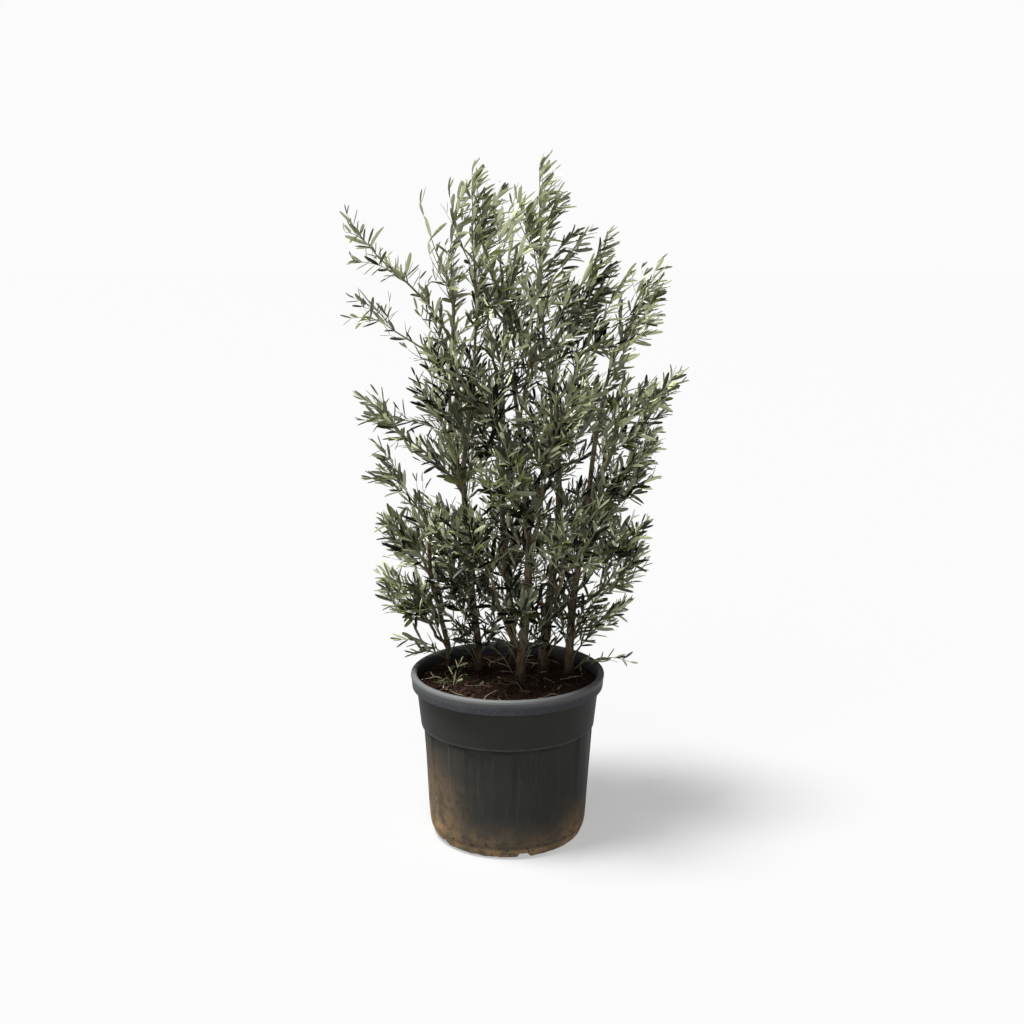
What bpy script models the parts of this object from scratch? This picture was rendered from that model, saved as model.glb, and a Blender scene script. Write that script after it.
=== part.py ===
"""A many-stemmed olive bush in a round nursery pot, in metres, with Z up.

The origin is the centre of the pot's underside. X runs to the right as the bush is seen from its
front, and Y runs away from the viewer. The pot is a turned shell with shallow flutes and drain
notches, and the soil fills it. Six stems stand on the soil and boughs leave them. Each mass of
foliage grows from a bough's tip or from the side of a limb: a tapering axis, three-sided twigs in
crossed pairs, and flat diamond leaves that each stand for a leafy shoot. A mass keeps to the space
that lies nearer to its own axis than to any other mass's axis.
"""

import math
import random

import bmesh
import bpy
import numpy as np
from mathutils import Matrix, Vector
from mathutils.bvhtree import BVHTree

# Clearance between solids that touch
GAP = 0.0003

# How much thicker than a limb the cutter is that keeps a bough or a mass clear of it
LIMB_CUT = 0.00036

# Pot
POT_HEIGHT = 0.542
POT_STEPS = 33
RIM_OUTER = 0.3095
RIM_INNER = 0.2885
RIM_INNER_DROP = 0.012
RIM_SHOULDER_DROP = 0.005
RIM_SHOULDER_INSET = 0.0027
BAND_TOP_DROP = 0.016
BAND_LEAN = 0.004
RIM_BAND_BOTTOM = 0.494
LIP_THICKNESS = 0.004
LIP_LEAN = 0.001
LIP_TOP_DROP = 0.018
COLLAR_THICKNESS = 0.0055
COLLAR_SPREAD = 0.0025
COLLAR_TOP_RADIUS = 0.2910
COLLAR_BOTTOM = 0.368
COLLAR_BOTTOM_RADIUS = 0.2780
COLLAR_STEP = 0.003
WALL_TOP_RADIUS = 0.2742
WALL_FOOT = 0.085
WALL_FOOT_RADIUS = 0.2545
FOOT_LINE = 0.048
FOOT_LINE_INSET = 0.0025
FOOT_EDGE = 0.010
FOOT_EDGE_SPREAD = 0.011
FOOT_RADIUS = 0.2270
FLOOR_INSET = 0.014
FLOOR_THICKNESS = 0.008
WALL_THICKNESS = 0.0085

# Flutes in the pot's wall, deepest under the collar and running out lower down
FLUTE_COUNT = 11
FLUTE_WIDTH = 18.0
FLUTE_FIRST = 13.5
FLUTE_DEPTH = 0.004
FLUTE_TOP = COLLAR_BOTTOM - 0.004
FLUTE_FOOT = 0.110
FLUTE_RUN_OUT = 0.0002
FLUTE_CUTTER_DEPTH = 0.03

# Drain notches under the foot
NOTCH_COUNT = 5
NOTCH_FIRST = 13.0
NOTCH_WIDTH = 0.038
NOTCH_HEIGHT = 0.017
NOTCH_REACH = 0.030

# Soil
SOIL_TOP = 0.503
SOIL_CLEARANCE = 0.0005
STEM_FOOT = SOIL_TOP + GAP

# Stems: where each stands on the soil, where it ends, how far its middle bends in X and Y,
# and its two radii
STEMS = {
    "stem_left": ((-0.197, 0.145), (-0.250, 0.085, 0.93), (-0.012, 0.0), 0.0090, 0.0055),
    "stem_mid_left": ((-0.095, 0.105), (-0.105, 0.060, 1.52), (-0.035, 0.015), 0.0120, 0.0055),
    "stem_centre": ((0.044, 0.000), (0.015, -0.050, 1.48), (0.035, -0.010), 0.0145, 0.0055),
    "stem_right_centre": ((0.117, 0.100), (0.115, 0.085, 1.60), (0.045, 0.030), 0.0165, 0.0055),
    "stem_right": ((0.201, 0.080), (0.300, 0.040, 1.42), (-0.010, 0.010), 0.0140, 0.0055),
    "stem_back": ((0.020, 0.190), (-0.015, 0.200, 1.40), (-0.015, 0.040), 0.0120, 0.0055),
}
STEM_POINTS = 6
STEM_SWAY = 0.006
STEM_TAPER = 0.85

# The flare at a stem's foot, as heights above the soil and the swelling there
FLARE = ((0.0, 1.45), (0.014, 1.26), (0.036, 1.10), (0.075, 1.0))

# Boughs: the limb each leaves, how far up that limb, its tip, its bend and its two radii
BOUGHS = {
    "bough_low_left": ("stem_left", 0.18, (-0.245, 0.075, 0.66), (-0.008, -0.008), 0.0060, 0.0046),
    "bough_left_arm": ("stem_mid_left", 0.62, (-0.180, 0.045, 1.42), (-0.016, 0.0), 0.0066, 0.0048),
    "bough_top_left": ("stem_mid_left", 0.74, (-0.165, 0.030, 1.66), (-0.016, 0.0), 0.0064, 0.0048),
    "bough_front_left": ("stem_centre", 0.10, (-0.040, -0.115, 0.84), (-0.012, -0.020), 0.0080, 0.0052),
    "bough_front": ("stem_centre", 0.45, (0.105, -0.150, 1.16), (0.008, -0.015), 0.0070, 0.0048),
    "bough_front_right": ("stem_right_centre", 0.19, (0.165, -0.080, 0.84), (0.0, -0.020), 0.0075, 0.0050),
    "bough_right_low": ("stem_right", 0.24, (0.275, 0.050, 0.77), (0.010, 0.0), 0.0070, 0.0048),
    "bough_right_arm": ("stem_right", 0.62, (0.330, 0.005, 1.28), (0.012, 0.0), 0.0066, 0.0048),
    "bough_top_right": ("stem_right_centre", 0.66, (0.215, 0.060, 1.49), (0.010, 0.0), 0.0066, 0.0048),
    "bough_back_left": ("stem_back", 0.30, (-0.115, 0.265, 0.98), (-0.008, 0.012), 0.0070, 0.0048),
    "bough_back_right": ("stem_back", 0.36, (0.105, 0.275, 1.02), (0.008, 0.012), 0.0070, 0.0048),
    "bough_cut_stub": ("stem_right_centre", 0.085, (0.112, 0.085, 0.735), (0.006, 0.0), 0.0115, 0.0095),
}
BOUGH_POINTS = 5
BOUGH_SWAY = 0.004

# Masses of foliage: the limb that bears each, how far up it, the outermost tip, and how bushy it is.
# At 1.0 a mass grows on from the limb's end
MASSES = {
    "leaves_low_left": ("bough_low_left", 1.0, (-0.415, 0.010, 0.93), 0.9),
    "leaves_left": ("stem_left", 0.72, (-0.405, -0.020, 1.13), 0.9),
    "leaves_left_shoot": ("stem_left", 1.0, (-0.395, 0.030, 1.27), 0.5),
    "leaves_left_arm": ("stem_mid_left", 0.57, (-0.455, 0.010, 1.42), 0.5),
    "leaves_left_high": ("bough_left_arm", 1.0, (-0.475, 0.030, 1.75), 0.4),
    "leaves_far_left_top": ("bough_top_left", 0.80, (-0.515, 0.000, 1.98), 0.4),
    "leaves_top_left": ("bough_top_left", 1.0, (-0.270, 0.050, 2.03), 0.5),
    "leaves_spire_left": ("stem_mid_left", 1.0, (-0.111, 0.030, 2.12), 1.0),
    "leaves_spire_centre": ("stem_centre", 1.0, (-0.040, -0.090, 2.07), 1.0),
    "leaves_spire_right": ("stem_right_centre", 1.0, (0.100, 0.050, 2.15), 0.9),
    "leaves_top_right": ("stem_right_centre", 0.84, (0.335, 0.080, 1.93), 1.0),
    "leaves_far_right_top": ("stem_right", 1.0, (0.475, 0.020, 1.85), 0.9),
    "leaves_high_right": ("bough_top_right", 1.0, (0.480, -0.060, 1.66), 0.5),
    "leaves_right": ("bough_right_arm", 1.0, (0.555, 0.000, 1.50), 0.8),
    "leaves_right_mid": ("stem_right", 0.46, (0.505, 0.060, 1.38), 1.0),
    "leaves_right_low": ("bough_right_low", 1.0, (0.440, -0.040, 1.10), 1.0),
    "leaves_front_low_left": ("bough_front_left", 1.0, (-0.210, -0.330, 1.16), 1.0),
    "leaves_front_low_right": ("bough_front_right", 1.0, (0.220, -0.350, 1.17), 1.0),
    "leaves_front_mid": ("stem_centre", 0.42, (-0.010, -0.450, 1.38), 1.0),
    "leaves_front_mid_left": ("stem_centre", 0.66, (-0.210, -0.320, 1.64), 1.0),
    "leaves_front_mid_right": ("bough_front", 1.0, (0.220, -0.370, 1.60), 1.0),
    "leaves_front_top": ("stem_centre", 0.84, (0.175, -0.200, 1.96), 1.0),
    "leaves_inner_left": ("stem_mid_left", 0.13, (-0.200, -0.120, 0.98), 1.0),
    "leaves_inner_centre": ("stem_centre", 0.16, (0.060, -0.230, 0.90), 1.0),
    "leaves_inner_right": ("stem_right", 0.10, (0.400, -0.060, 0.87), 1.0),
    "leaves_back_low_left": ("stem_left", 0.50, (-0.310, 0.340, 1.06), 1.0),
    "leaves_back_low": ("stem_back", 0.18, (0.020, 0.460, 1.06), 1.0),
    "leaves_back_low_right": ("stem_right", 0.30, (0.310, 0.340, 1.10), 1.0),
    "leaves_back_mid_left": ("bough_back_left", 1.0, (-0.290, 0.380, 1.56), 1.0),
    "leaves_back_mid_right": ("bough_back_right", 1.0, (0.290, 0.390, 1.54), 1.0),
    "leaves_back_top": ("stem_back", 1.0, (0.000, 0.310, 1.90), 1.0),
}

# The axis of a mass: its points, its radii, the run on from a limb's end or out of a limb's side,
# how far it leans along the limb there, and how long its first direction holds
AXIS_POINTS = 4
AXIS_RADIUS = 0.0052
AXIS_TIP_RADIUS = 0.0024
AXIS_RUN_ON = 0.03
AXIS_RUN_OUT = 0.05
AXIS_LEAN = 0.5
AXIS_HOLD = 0.35

# Twigs, in pairs that cross from one node of the axis to the next
TWIG_RADIUS = 0.0034
TWIG_TIP_RADIUS = 0.0018
TWIG_NODES = (0.14, 0.40, 0.66)
TWIG_LENGTH = 0.150
TWIG_SHORTENING = 0.45
TWIG_THINNING = 0.5
TWIG_RISE = 50.0
TWIG_RISE_SPREAD = 10.0
TWIG_FIRST_TURN = 40.0
TWIG_TURN_SPREAD = 25.0
TWIG_SPREAD_PER_TRY = 10.0
TWIG_SHRINK_PER_TRY = 0.05

# Leaves: one at the end of the axis and of each twig, a pair halfway along each twig, and pairs on
# the axis
LEAF_LENGTH = 0.190
LEAF_WIDTH = 0.066
LEAF_THICKNESS = 0.005
LEAF_RISE = 42.0
LEAF_WIDEST = 0.45
LEAF_THICKEST = 0.22
LEAF_SUNK = 0.0015
TIP_LEAF_SUNK = 0.004
SIDE_LEAF_SIZE = 0.88
SIDE_LEAF_SPREAD = 15.0
AXIS_LEAF_SIZE = 0.85
AXIS_LEAF_PLACES = (0.52, 0.84)
MOST_LEAVES = 16
TRIES = 9
LEAF_SPREAD = 8.0
LEAF_SPREAD_PER_TRY = 9.0
LEAF_SHRINK_PER_TRY = 0.045

# The space of a mass
SPACE_MARGIN = 0.004
LIMB_CLEARANCE = 0.006
LEAF_CLEARANCE = 0.003
HULL_START = 0.13
HULL_THICKEST = 0.3
LOWEST_LEAF = POT_HEIGHT + 0.02
REACH_PAST_TIP = 0.015
LEAST_REACH = 0.30

# How far every shoot turns upwards, as a share of its direction
TO_LIGHT = 0.30
SEED = 2150


def clear_scene():
    """Remove what the file opened with."""
    for obj in list(bpy.data.objects):
        bpy.data.objects.remove(obj, do_unlink=True)


def new_collection(name, parent=None):
    """Make a collection under the given one, or under the scene's own."""
    collection = bpy.data.collections.new(name)
    (parent or bpy.context.scene.collection).children.link(collection)
    return collection


def new_material(name, colour, roughness, metallic=0.0):
    """Make a Principled material from an sRGB colour."""
    material = bpy.data.materials.new(name)
    material.use_nodes = True
    shader = material.node_tree.nodes["Principled BSDF"]
    linear = [((c + 0.055) / 1.055) ** 2.4 if c > 0.04045 else c / 12.92 for c in colour]
    shader.inputs["Base Color"].default_value = (*linear, 1.0)
    shader.inputs["Roughness"].default_value = roughness
    shader.inputs["Metallic"].default_value = metallic
    material.diffuse_color = (*linear, 1.0)
    return material


def add_object(name, mesh, collection, material=None):
    """Put a mesh in a collection as an object of this name."""
    obj = bpy.data.objects.new(name, mesh)
    collection.objects.link(obj)
    if material is not None:
        mesh.materials.clear()
        mesh.materials.append(material)
    return obj


def evaluated_mesh(obj):
    """The object's mesh with its modifiers, as a mesh of its own."""
    graph = bpy.context.evaluated_depsgraph_get()
    graph.update()
    return bpy.data.meshes.new_from_object(obj.evaluated_get(graph))


def polar(radius, degrees, height):
    """A point at this angle, counted from the front of the pot towards its right."""
    angle = math.radians(degrees)
    return Vector((radius * math.sin(angle), -radius * math.cos(angle), height))


def turned(name, profile, closed, steps, collection, material=None, angle=360.0):
    """Turn a profile of (radius, height) points round Z, and weld the result."""
    mesh = bpy.data.meshes.new(name)
    points = [(radius, 0.0, height) for radius, height in profile]
    edges = [(i, i + 1) for i in range(len(points) - 1)]
    if closed:
        edges.append((len(points) - 1, 0))
    mesh.from_pydata(points, edges, [])
    obj = add_object(name, mesh, collection, material)
    screw = obj.modifiers.new("Turn", "SCREW")
    screw.angle = math.radians(angle)
    screw.steps = screw.render_steps = steps
    screw.use_merge_vertices = angle >= 360.0
    screw.merge_threshold = 0.00005
    screw.use_normal_calculate = False
    return obj


def applied(obj):
    """Replace the object's mesh by its evaluated mesh, and drop its modifiers."""
    mesh = evaluated_mesh(obj)
    obj.modifiers.clear()
    obj.data = mesh
    return obj


def difference(obj, cutters):
    """Cut every object of a collection from this one."""
    cut = obj.modifiers.new("Cut", "BOOLEAN")
    cut.operation = "DIFFERENCE"
    cut.solver = "EXACT"
    cut.operand_type = "COLLECTION"
    cut.collection = cutters


def hide_cutters(cutters):
    """Keep the cutters out of the render, and draw them as wire."""
    for obj in cutters.objects:
        obj.hide_render = True
        obj.display_type = "WIRE"


def wall_radius(height):
    """Outer radius of the pot's plain wall between its foot and the collar."""
    share = (height - WALL_FOOT) / (COLLAR_BOTTOM - WALL_FOOT)
    return WALL_FOOT_RADIUS + share * (WALL_TOP_RADIUS - WALL_FOOT_RADIUS)


def pot_inside():
    """The inner face of the pot from the middle of its floor to the rim."""
    return [
        (0.0, FLOOR_THICKNESS),
        (FOOT_RADIUS - FLOOR_INSET, FLOOR_THICKNESS),
        (WALL_FOOT_RADIUS - WALL_THICKNESS, WALL_FOOT),
        (WALL_TOP_RADIUS - WALL_THICKNESS, COLLAR_BOTTOM),
        (COLLAR_TOP_RADIUS - COLLAR_THICKNESS, RIM_BAND_BOTTOM),
        (RIM_INNER, POT_HEIGHT - RIM_INNER_DROP),
    ]


def pot_profile():
    """The whole section of the pot: up its inside, over the rolled rim and down its outside."""
    rim_centre = (RIM_INNER + RIM_OUTER) / 2
    shoulder = POT_HEIGHT - RIM_SHOULDER_DROP
    lip_inner = RIM_OUTER - BAND_LEAN - LIP_THICKNESS
    rim = [
        (RIM_INNER + RIM_SHOULDER_INSET, shoulder),
        (rim_centre, POT_HEIGHT),
        (RIM_OUTER - RIM_SHOULDER_INSET, shoulder),
        (RIM_OUTER, POT_HEIGHT - BAND_TOP_DROP),
        (RIM_OUTER - BAND_LEAN, RIM_BAND_BOTTOM),
        (lip_inner, RIM_BAND_BOTTOM),
        (lip_inner + LIP_LEAN, POT_HEIGHT - LIP_TOP_DROP),
        (COLLAR_TOP_RADIUS + COLLAR_SPREAD, POT_HEIGHT - LIP_TOP_DROP),
    ]
    outside = [
        (COLLAR_TOP_RADIUS, RIM_BAND_BOTTOM),
        (COLLAR_BOTTOM_RADIUS, COLLAR_BOTTOM + COLLAR_STEP),
        (WALL_TOP_RADIUS, COLLAR_BOTTOM),
        (WALL_FOOT_RADIUS, WALL_FOOT),
        (WALL_FOOT_RADIUS - FOOT_LINE_INSET, FOOT_LINE),
        (FOOT_RADIUS + FOOT_EDGE_SPREAD, FOOT_EDGE),
        (FOOT_RADIUS, 0.0),
        (0.0, 0.0),
    ]
    return pot_inside() + rim + outside


def flute_cutter(name, collection):
    """A curved block that cuts one flute. Its inner face leans less than the wall, so it runs out."""
    outer = WALL_TOP_RADIUS + FLUTE_CUTTER_DEPTH
    profile = [
        (outer, FLUTE_TOP),
        (outer, FLUTE_FOOT),
        (wall_radius(FLUTE_FOOT) - FLUTE_RUN_OUT, FLUTE_FOOT),
        (wall_radius(FLUTE_TOP) - FLUTE_DEPTH, FLUTE_TOP),
    ]
    obj = applied(turned(name, profile, True, 3, collection, angle=FLUTE_WIDTH))
    shape = bmesh.new()
    shape.from_mesh(obj.data)
    ends = [edge for edge in shape.edges if edge.is_boundary]
    bmesh.ops.holes_fill(shape, edges=ends, sides=4)
    bmesh.ops.recalc_face_normals(shape, faces=shape.faces)
    shape.to_mesh(obj.data)
    shape.free()
    return obj


def build_pot(parts, cutters, material):
    """The turned shell with its flutes and its drain notches."""
    pot = turned("pot", pot_profile(), False, POT_STEPS, parts, material)
    first = flute_cutter("flute_1", cutters)
    pitch = 360.0 / FLUTE_COUNT
    for i in range(FLUTE_COUNT):
        flute = first if i == 0 else add_object(f"flute_{i + 1}", first.data, cutters)
        flute.rotation_euler.z = math.radians(FLUTE_FIRST + i * pitch - FLUTE_WIDTH / 2 - 90.0)
    for i in range(NOTCH_COUNT):
        angle = NOTCH_FIRST + i * 360.0 / NOTCH_COUNT
        shape = bmesh.new()
        bmesh.ops.create_cube(shape, size=1.0)
        mesh = bpy.data.meshes.new(f"notch_{i + 1}")
        shape.to_mesh(mesh)
        shape.free()
        notch = add_object(f"notch_{i + 1}", mesh, cutters)
        notch.scale = (NOTCH_WIDTH, NOTCH_REACH * 2, NOTCH_HEIGHT * 2)
        notch.location = polar(FOOT_RADIUS + 0.012, angle, 0.0)
        notch.rotation_euler.z = math.radians(angle)
    hide_cutters(cutters)
    difference(pot, cutters)
    return pot


def build_soil(parts, material):
    """The soil, clear of the pot's inner face all round."""
    inside = pot_inside()
    profile = [(0.0, SOIL_TOP)]
    below, above = inside[4], inside[5]
    for low, high in zip(inside[1:], inside[2:]):
        if low[1] <= SOIL_TOP <= high[1]:
            below, above = low, high
    share = (SOIL_TOP - below[1]) / (above[1] - below[1])
    profile.append((below[0] + share * (above[0] - below[0]) - SOIL_CLEARANCE, SOIL_TOP))
    for radius, height in reversed(inside[1:]):
        if height < SOIL_TOP:
            profile.append((radius - SOIL_CLEARANCE, height + GAP))
    profile.append((0.0, FLOOR_THICKNESS + GAP))
    return turned("soil", profile, False, POT_STEPS, parts, material)


def bent_path(start, end, bend, count, sway, seed):
    """Points from start to end: a bow of the given bend, with a little seeded sway along it."""
    chance = random.Random(seed)
    phases = [chance.uniform(0.0, 2.0 * math.pi) for _ in range(2)]
    points = []
    for i in range(count):
        share = i / (count - 1)
        bow = math.sin(math.pi * share)
        point = start.lerp(end, share) + Vector((bend[0], bend[1], 0.0)) * bow
        point.x += sway * bow * math.sin(2.5 * math.pi * share + phases[0])
        point.y += sway * bow * math.sin(2.5 * math.pi * share + phases[1])
        points.append(point)
    return points


def along(points, share):
    """The point at this share of a path's length, and the direction there."""
    lengths = [(b - a).length for a, b in zip(points, points[1:])]
    left = share * sum(lengths)
    for a, b, length in zip(points, points[1:], lengths):
        if left <= length or b is points[-1]:
            return a.lerp(b, min(left / length, 1.0)), (b - a).normalized()
        left -= length


def stem_path(name):
    """Points and radii of a stem: upright and flared at the soil, then tapering along its bend."""
    (x, y), top, bend, foot_radius, top_radius = STEMS[name]
    foot = Vector((x, y, STEM_FOOT))
    points = [foot + Vector((0.0, 0.0, height)) for height, _ in FLARE]
    radii = [foot_radius * swelling for _, swelling in FLARE]
    path = bent_path(points[-1], Vector(top), bend, STEM_POINTS, STEM_SWAY, name)
    for i, point in enumerate(path[1:], 1):
        share = i / (STEM_POINTS - 1)
        points.append(point)
        radii.append(foot_radius + (top_radius - foot_radius) * share ** STEM_TAPER)
    return points, radii


def bough_path(name, limbs):
    """Points and radii of a bough, from the axis of the limb that bears it to its own tip."""
    parent, share, tip, bend, base_radius, tip_radius = BOUGHS[name]
    start, _ = along(limbs[parent][0], share)
    points = bent_path(start, Vector(tip), bend, BOUGH_POINTS, BOUGH_SWAY, name)
    steps = BOUGH_POINTS - 1
    radii = [base_radius + (tip_radius - base_radius) * i / steps for i in range(BOUGH_POINTS)]
    return points, radii


def axis_path(name, limbs):
    """Points of a mass's axis. At a limb's end it starts just clear of the end and in line with it."""
    parent, share, tip, _ = MASSES[name]
    start, heading = along(limbs[parent][0], share)
    end = Vector(tip)
    if share >= 1.0:
        start = start + heading * GAP
        second = start + heading * AXIS_RUN_ON
    else:
        outward = (end - start).normalized()
        second = start + (outward + heading * AXIS_LEAN).normalized() * AXIS_RUN_OUT
    end = end - (end - second).normalized() * (LEAF_LENGTH - TIP_LEAF_SUNK)
    control = second + (second - start).normalized() * (end - second).length * AXIS_HOLD
    points = [start]
    for i in range(AXIS_POINTS):
        t = i / (AXIS_POINTS - 1)
        points.append(second * (1 - t) ** 2 + control * 2 * t * (1 - t) + end * t ** 2)
    return points


def tube(name, points, radii, level, collection, material=None):
    """A tapering limb as a beveled curve with filled caps, made a mesh and welded."""
    curve = bpy.data.curves.new(name, "CURVE")
    curve.dimensions = "3D"
    curve.bevel_depth = 1.0
    curve.bevel_resolution = level
    curve.use_fill_caps = True
    spline = curve.splines.new("POLY")
    spline.points.add(len(points) - 1)
    for knot, point, radius in zip(spline.points, points, radii):
        knot.co = (*point, 1.0)
        knot.radius = radius
    guide = bpy.data.objects.new(name + "_curve", curve)
    collection.objects.link(guide)
    mesh = evaluated_mesh(guide)
    bpy.data.objects.remove(guide, do_unlink=True)
    shape = bmesh.new()
    shape.from_mesh(mesh)
    bmesh.ops.remove_doubles(shape, verts=shape.verts, dist=0.00001)
    bmesh.ops.recalc_face_normals(shape, faces=shape.faces)
    shape.to_mesh(mesh)
    shape.free()
    return add_object(name, mesh, collection, material)


def frame_along(direction):
    """A rotation whose Z is this direction."""
    return direction.to_track_quat("Z", "Y").to_matrix()


def side_direction(direction, azimuth, rise):
    """A direction that leaves another at this azimuth round it and leans towards it by the rise.

    It is then turned a little upwards, as shoots turn towards the light.
    """
    turn, lift = math.radians(azimuth), math.radians(rise)
    level = math.cos(lift)
    local = Vector((math.cos(turn) * level, math.sin(turn) * level, math.sin(lift)))
    turned = frame_along(direction) @ local
    return (turned + Vector((0.0, 0.0, TO_LIGHT))).normalized()


def leaf_corners(base, direction, length, roll):
    """The four outline points of a leaf that is rolled about its midrib."""
    across = Matrix.Rotation(roll, 3, direction) @ frame_along(direction).col[0]
    width = LEAF_WIDTH * length / LEAF_LENGTH
    middle = base + direction * length * LEAF_WIDEST
    side = across * width / 2
    return base, middle + side, base + direction * length, middle - side


def leaf_samples(leaf):
    """Points over a leaf that the rules of space and clearance test."""
    root, left, tip, right = leaf_corners(*leaf)
    points = []
    for step in range(1, 9):
        share = step / 8
        points.append(root.lerp(tip, share))
    for a, b in ((root, left), (left, tip), (root, right), (right, tip)):
        for share in (0.35, 0.7, 1.0):
            points.append(a.lerp(b, share))
    return np.array(points)


def distance_to_path(samples, path):
    """The distance from each sample to each segment of a path."""
    starts = np.array(path[:-1])
    spans = np.array(path[1:]) - starts
    offset = samples[:, None, :] - starts[None, :, :]
    share = (offset * spans).sum(axis=2) / (spans ** 2).sum(axis=1)
    share = np.clip(share, 0.0, 1.0)
    nearest = starts[None, :, :] + spans[None, :, :] * share[:, :, None]
    return np.linalg.norm(samples[:, None, :] - nearest, axis=2)


def in_own_space(samples, name, axes):
    """Whether all the samples lie nearer to this mass's axis than to any other's, and within reach.

    The reach is the distance of the mass's tip from the middle of the bush, and the tip's height.
    """
    tip = MASSES[name][2]
    reach = max(math.hypot(tip[0], tip[1]) + REACH_PAST_TIP, LEAST_REACH)
    if np.hypot(samples[:, 0], samples[:, 1]).max() > reach:
        return False
    if samples[:, 2].max() > tip[2] + REACH_PAST_TIP:
        return False
    own = distance_to_path(samples, axes[name]).min(axis=1)
    for other, path in axes.items():
        if other == name:
            continue
        if (distance_to_path(samples, path).min(axis=1) < own + SPACE_MARGIN).any():
            return False
    return samples[:, 2].min() > LOWEST_LEAF


def clear_of_limbs(samples, limbs):
    """Whether all the samples keep clear of every limb."""
    for points, radii in limbs.values():
        away = distance_to_path(samples, points)
        thick = np.maximum(np.array(radii[:-1]), np.array(radii[1:]))
        if (away < thick[None, :] + LIMB_CLEARANCE).any():
            return False
    return True


def blade_hull(leaf):
    """A leaf past its root, thickened by the clearance, as faces that others are tested against."""
    root, left, tip, right = leaf_corners(*leaf)
    root = root.lerp(tip, HULL_START)
    above = (tip - root).normalized().cross((left - right).normalized())
    above *= LEAF_THICKNESS / 2 + LEAF_CLEARANCE
    middle = root.lerp(tip, HULL_THICKEST)
    points = [root, left, tip, right, middle + above, middle - above]
    faces = [(i, (i + 1) % 4, peak) for peak in (4, 5) for i in range(4)]
    return BVHTree.FromPolygons(points, faces)


def twig_hull(start, end):
    """A twig past its root as two crossed faces."""
    start = start.lerp(end, HULL_START)
    frame = frame_along(end - start)
    across, above = frame.col[0] * LEAF_CLEARANCE, frame.col[1] * LEAF_CLEARANCE
    points = [start + across, start - across, start + above, start - above, end]
    return BVHTree.FromPolygons(points, [(0, 1, 4), (2, 3, 4)])


def clear_of(hull, taken):
    """Whether a hull touches none of those taken already."""
    return not any(hull.overlap(other) for other in taken)


def grow(name, axes, limbs):
    """The twigs and leaves of one mass, as (start, end, size) and (base, direction, length, roll)."""
    chance = random.Random(f"{SEED} {name}")
    axis = axes[name]
    bushy = MASSES[name][3]
    twigs, leaves = [], []
    taken = [twig_hull(a, b) for a, b in zip(axis[1:], axis[2:])]

    def place_leaf(point, heading, azimuth, rise, length, sunk):
        """Add the first leaf of a few tries that keeps to the rules."""
        if len(leaves) >= MOST_LEAVES:
            return
        for attempt in range(TRIES):
            spread = LEAF_SPREAD + LEAF_SPREAD_PER_TRY * attempt
            turn = azimuth + chance.uniform(-spread, spread)
            lift = rise + chance.uniform(-spread, spread) * 0.5
            direction = side_direction(heading, turn, min(lift, 90.0))
            size = length * (1.0 - LEAF_SHRINK_PER_TRY * attempt)
            leaf = (point - direction * sunk, direction, size, chance.uniform(0.0, math.pi))
            outer = leaf_samples(leaf)[2:]
            if not in_own_space(outer, name, axes) or not clear_of_limbs(outer, limbs):
                continue
            hull = blade_hull(leaf)
            if not clear_of(hull, taken):
                continue
            leaves.append(leaf)
            taken.append(hull)
            return

    end, heading = along(axis, 1.0)
    place_leaf(end, heading, 0.0, 90.0, LEAF_LENGTH, TIP_LEAF_SUNK)
    for node, share in enumerate(TWIG_NODES):
        point, heading = along(axis, share)
        reach = TWIG_LENGTH * bushy * (1.0 - TWIG_SHORTENING * share)
        for side in (0, 1):
            azimuth = TWIG_FIRST_TURN + 90.0 * node + 180.0 * side
            azimuth += chance.uniform(-TWIG_TURN_SPREAD, TWIG_TURN_SPREAD)
            for attempt in range(TRIES):
                spread = TWIG_SPREAD_PER_TRY * attempt
                turn = azimuth + chance.uniform(-spread, spread)
                lift = TWIG_RISE + chance.uniform(-TWIG_RISE_SPREAD, TWIG_RISE_SPREAD)
                length = reach * (1.0 - TWIG_SHRINK_PER_TRY * attempt)
                direction = side_direction(heading, turn, lift)
                tip = point + direction * length
                samples = np.array([point.lerp(tip, s / 6) for s in range(2, 7)])
                if not in_own_space(samples, name, axes) or not clear_of_limbs(samples, limbs):
                    continue
                hull = twig_hull(point, tip)
                if not clear_of(hull, taken):
                    continue
                twigs.append((point, tip, 1.0 - TWIG_THINNING * share))
                taken.append(hull)
                place_leaf(tip, direction, 0.0, 90.0, LEAF_LENGTH * bushy, TIP_LEAF_SUNK)
                for pair in (0, 1):
                    knot = point + direction * length * 0.5
                    turn = 90.0 * node + 180.0 * pair
                    turn += chance.uniform(-SIDE_LEAF_SPREAD, SIDE_LEAF_SPREAD)
                    size = LEAF_LENGTH * SIDE_LEAF_SIZE * bushy
                    place_leaf(knot, direction, turn, LEAF_RISE, size, LEAF_SUNK)
                break
    for share in AXIS_LEAF_PLACES:
        point, heading = along(axis, share)
        turn = chance.uniform(0.0, 180.0)
        for side in (0, 1):
            size = LEAF_LENGTH * AXIS_LEAF_SIZE * bushy
            place_leaf(point, heading, turn + 180.0 * side, LEAF_RISE, size, LEAF_SUNK)
    return twigs, leaves


def twig_object(name, start, end, size, collection):
    """A three-sided tapering twig."""
    shape = bmesh.new()
    length = (end - start).length
    radius = TWIG_RADIUS * size
    bmesh.ops.create_cone(
        shape, cap_ends=True, segments=3, radius1=radius, radius2=TWIG_TIP_RADIUS, depth=length
    )
    mesh = bpy.data.meshes.new(name)
    shape.to_mesh(mesh)
    shape.free()
    obj = add_object(name, mesh, collection)
    obj.matrix_world = Matrix.Translation((start + end) / 2) @ frame_along(end - start).to_4x4()
    return obj


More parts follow.
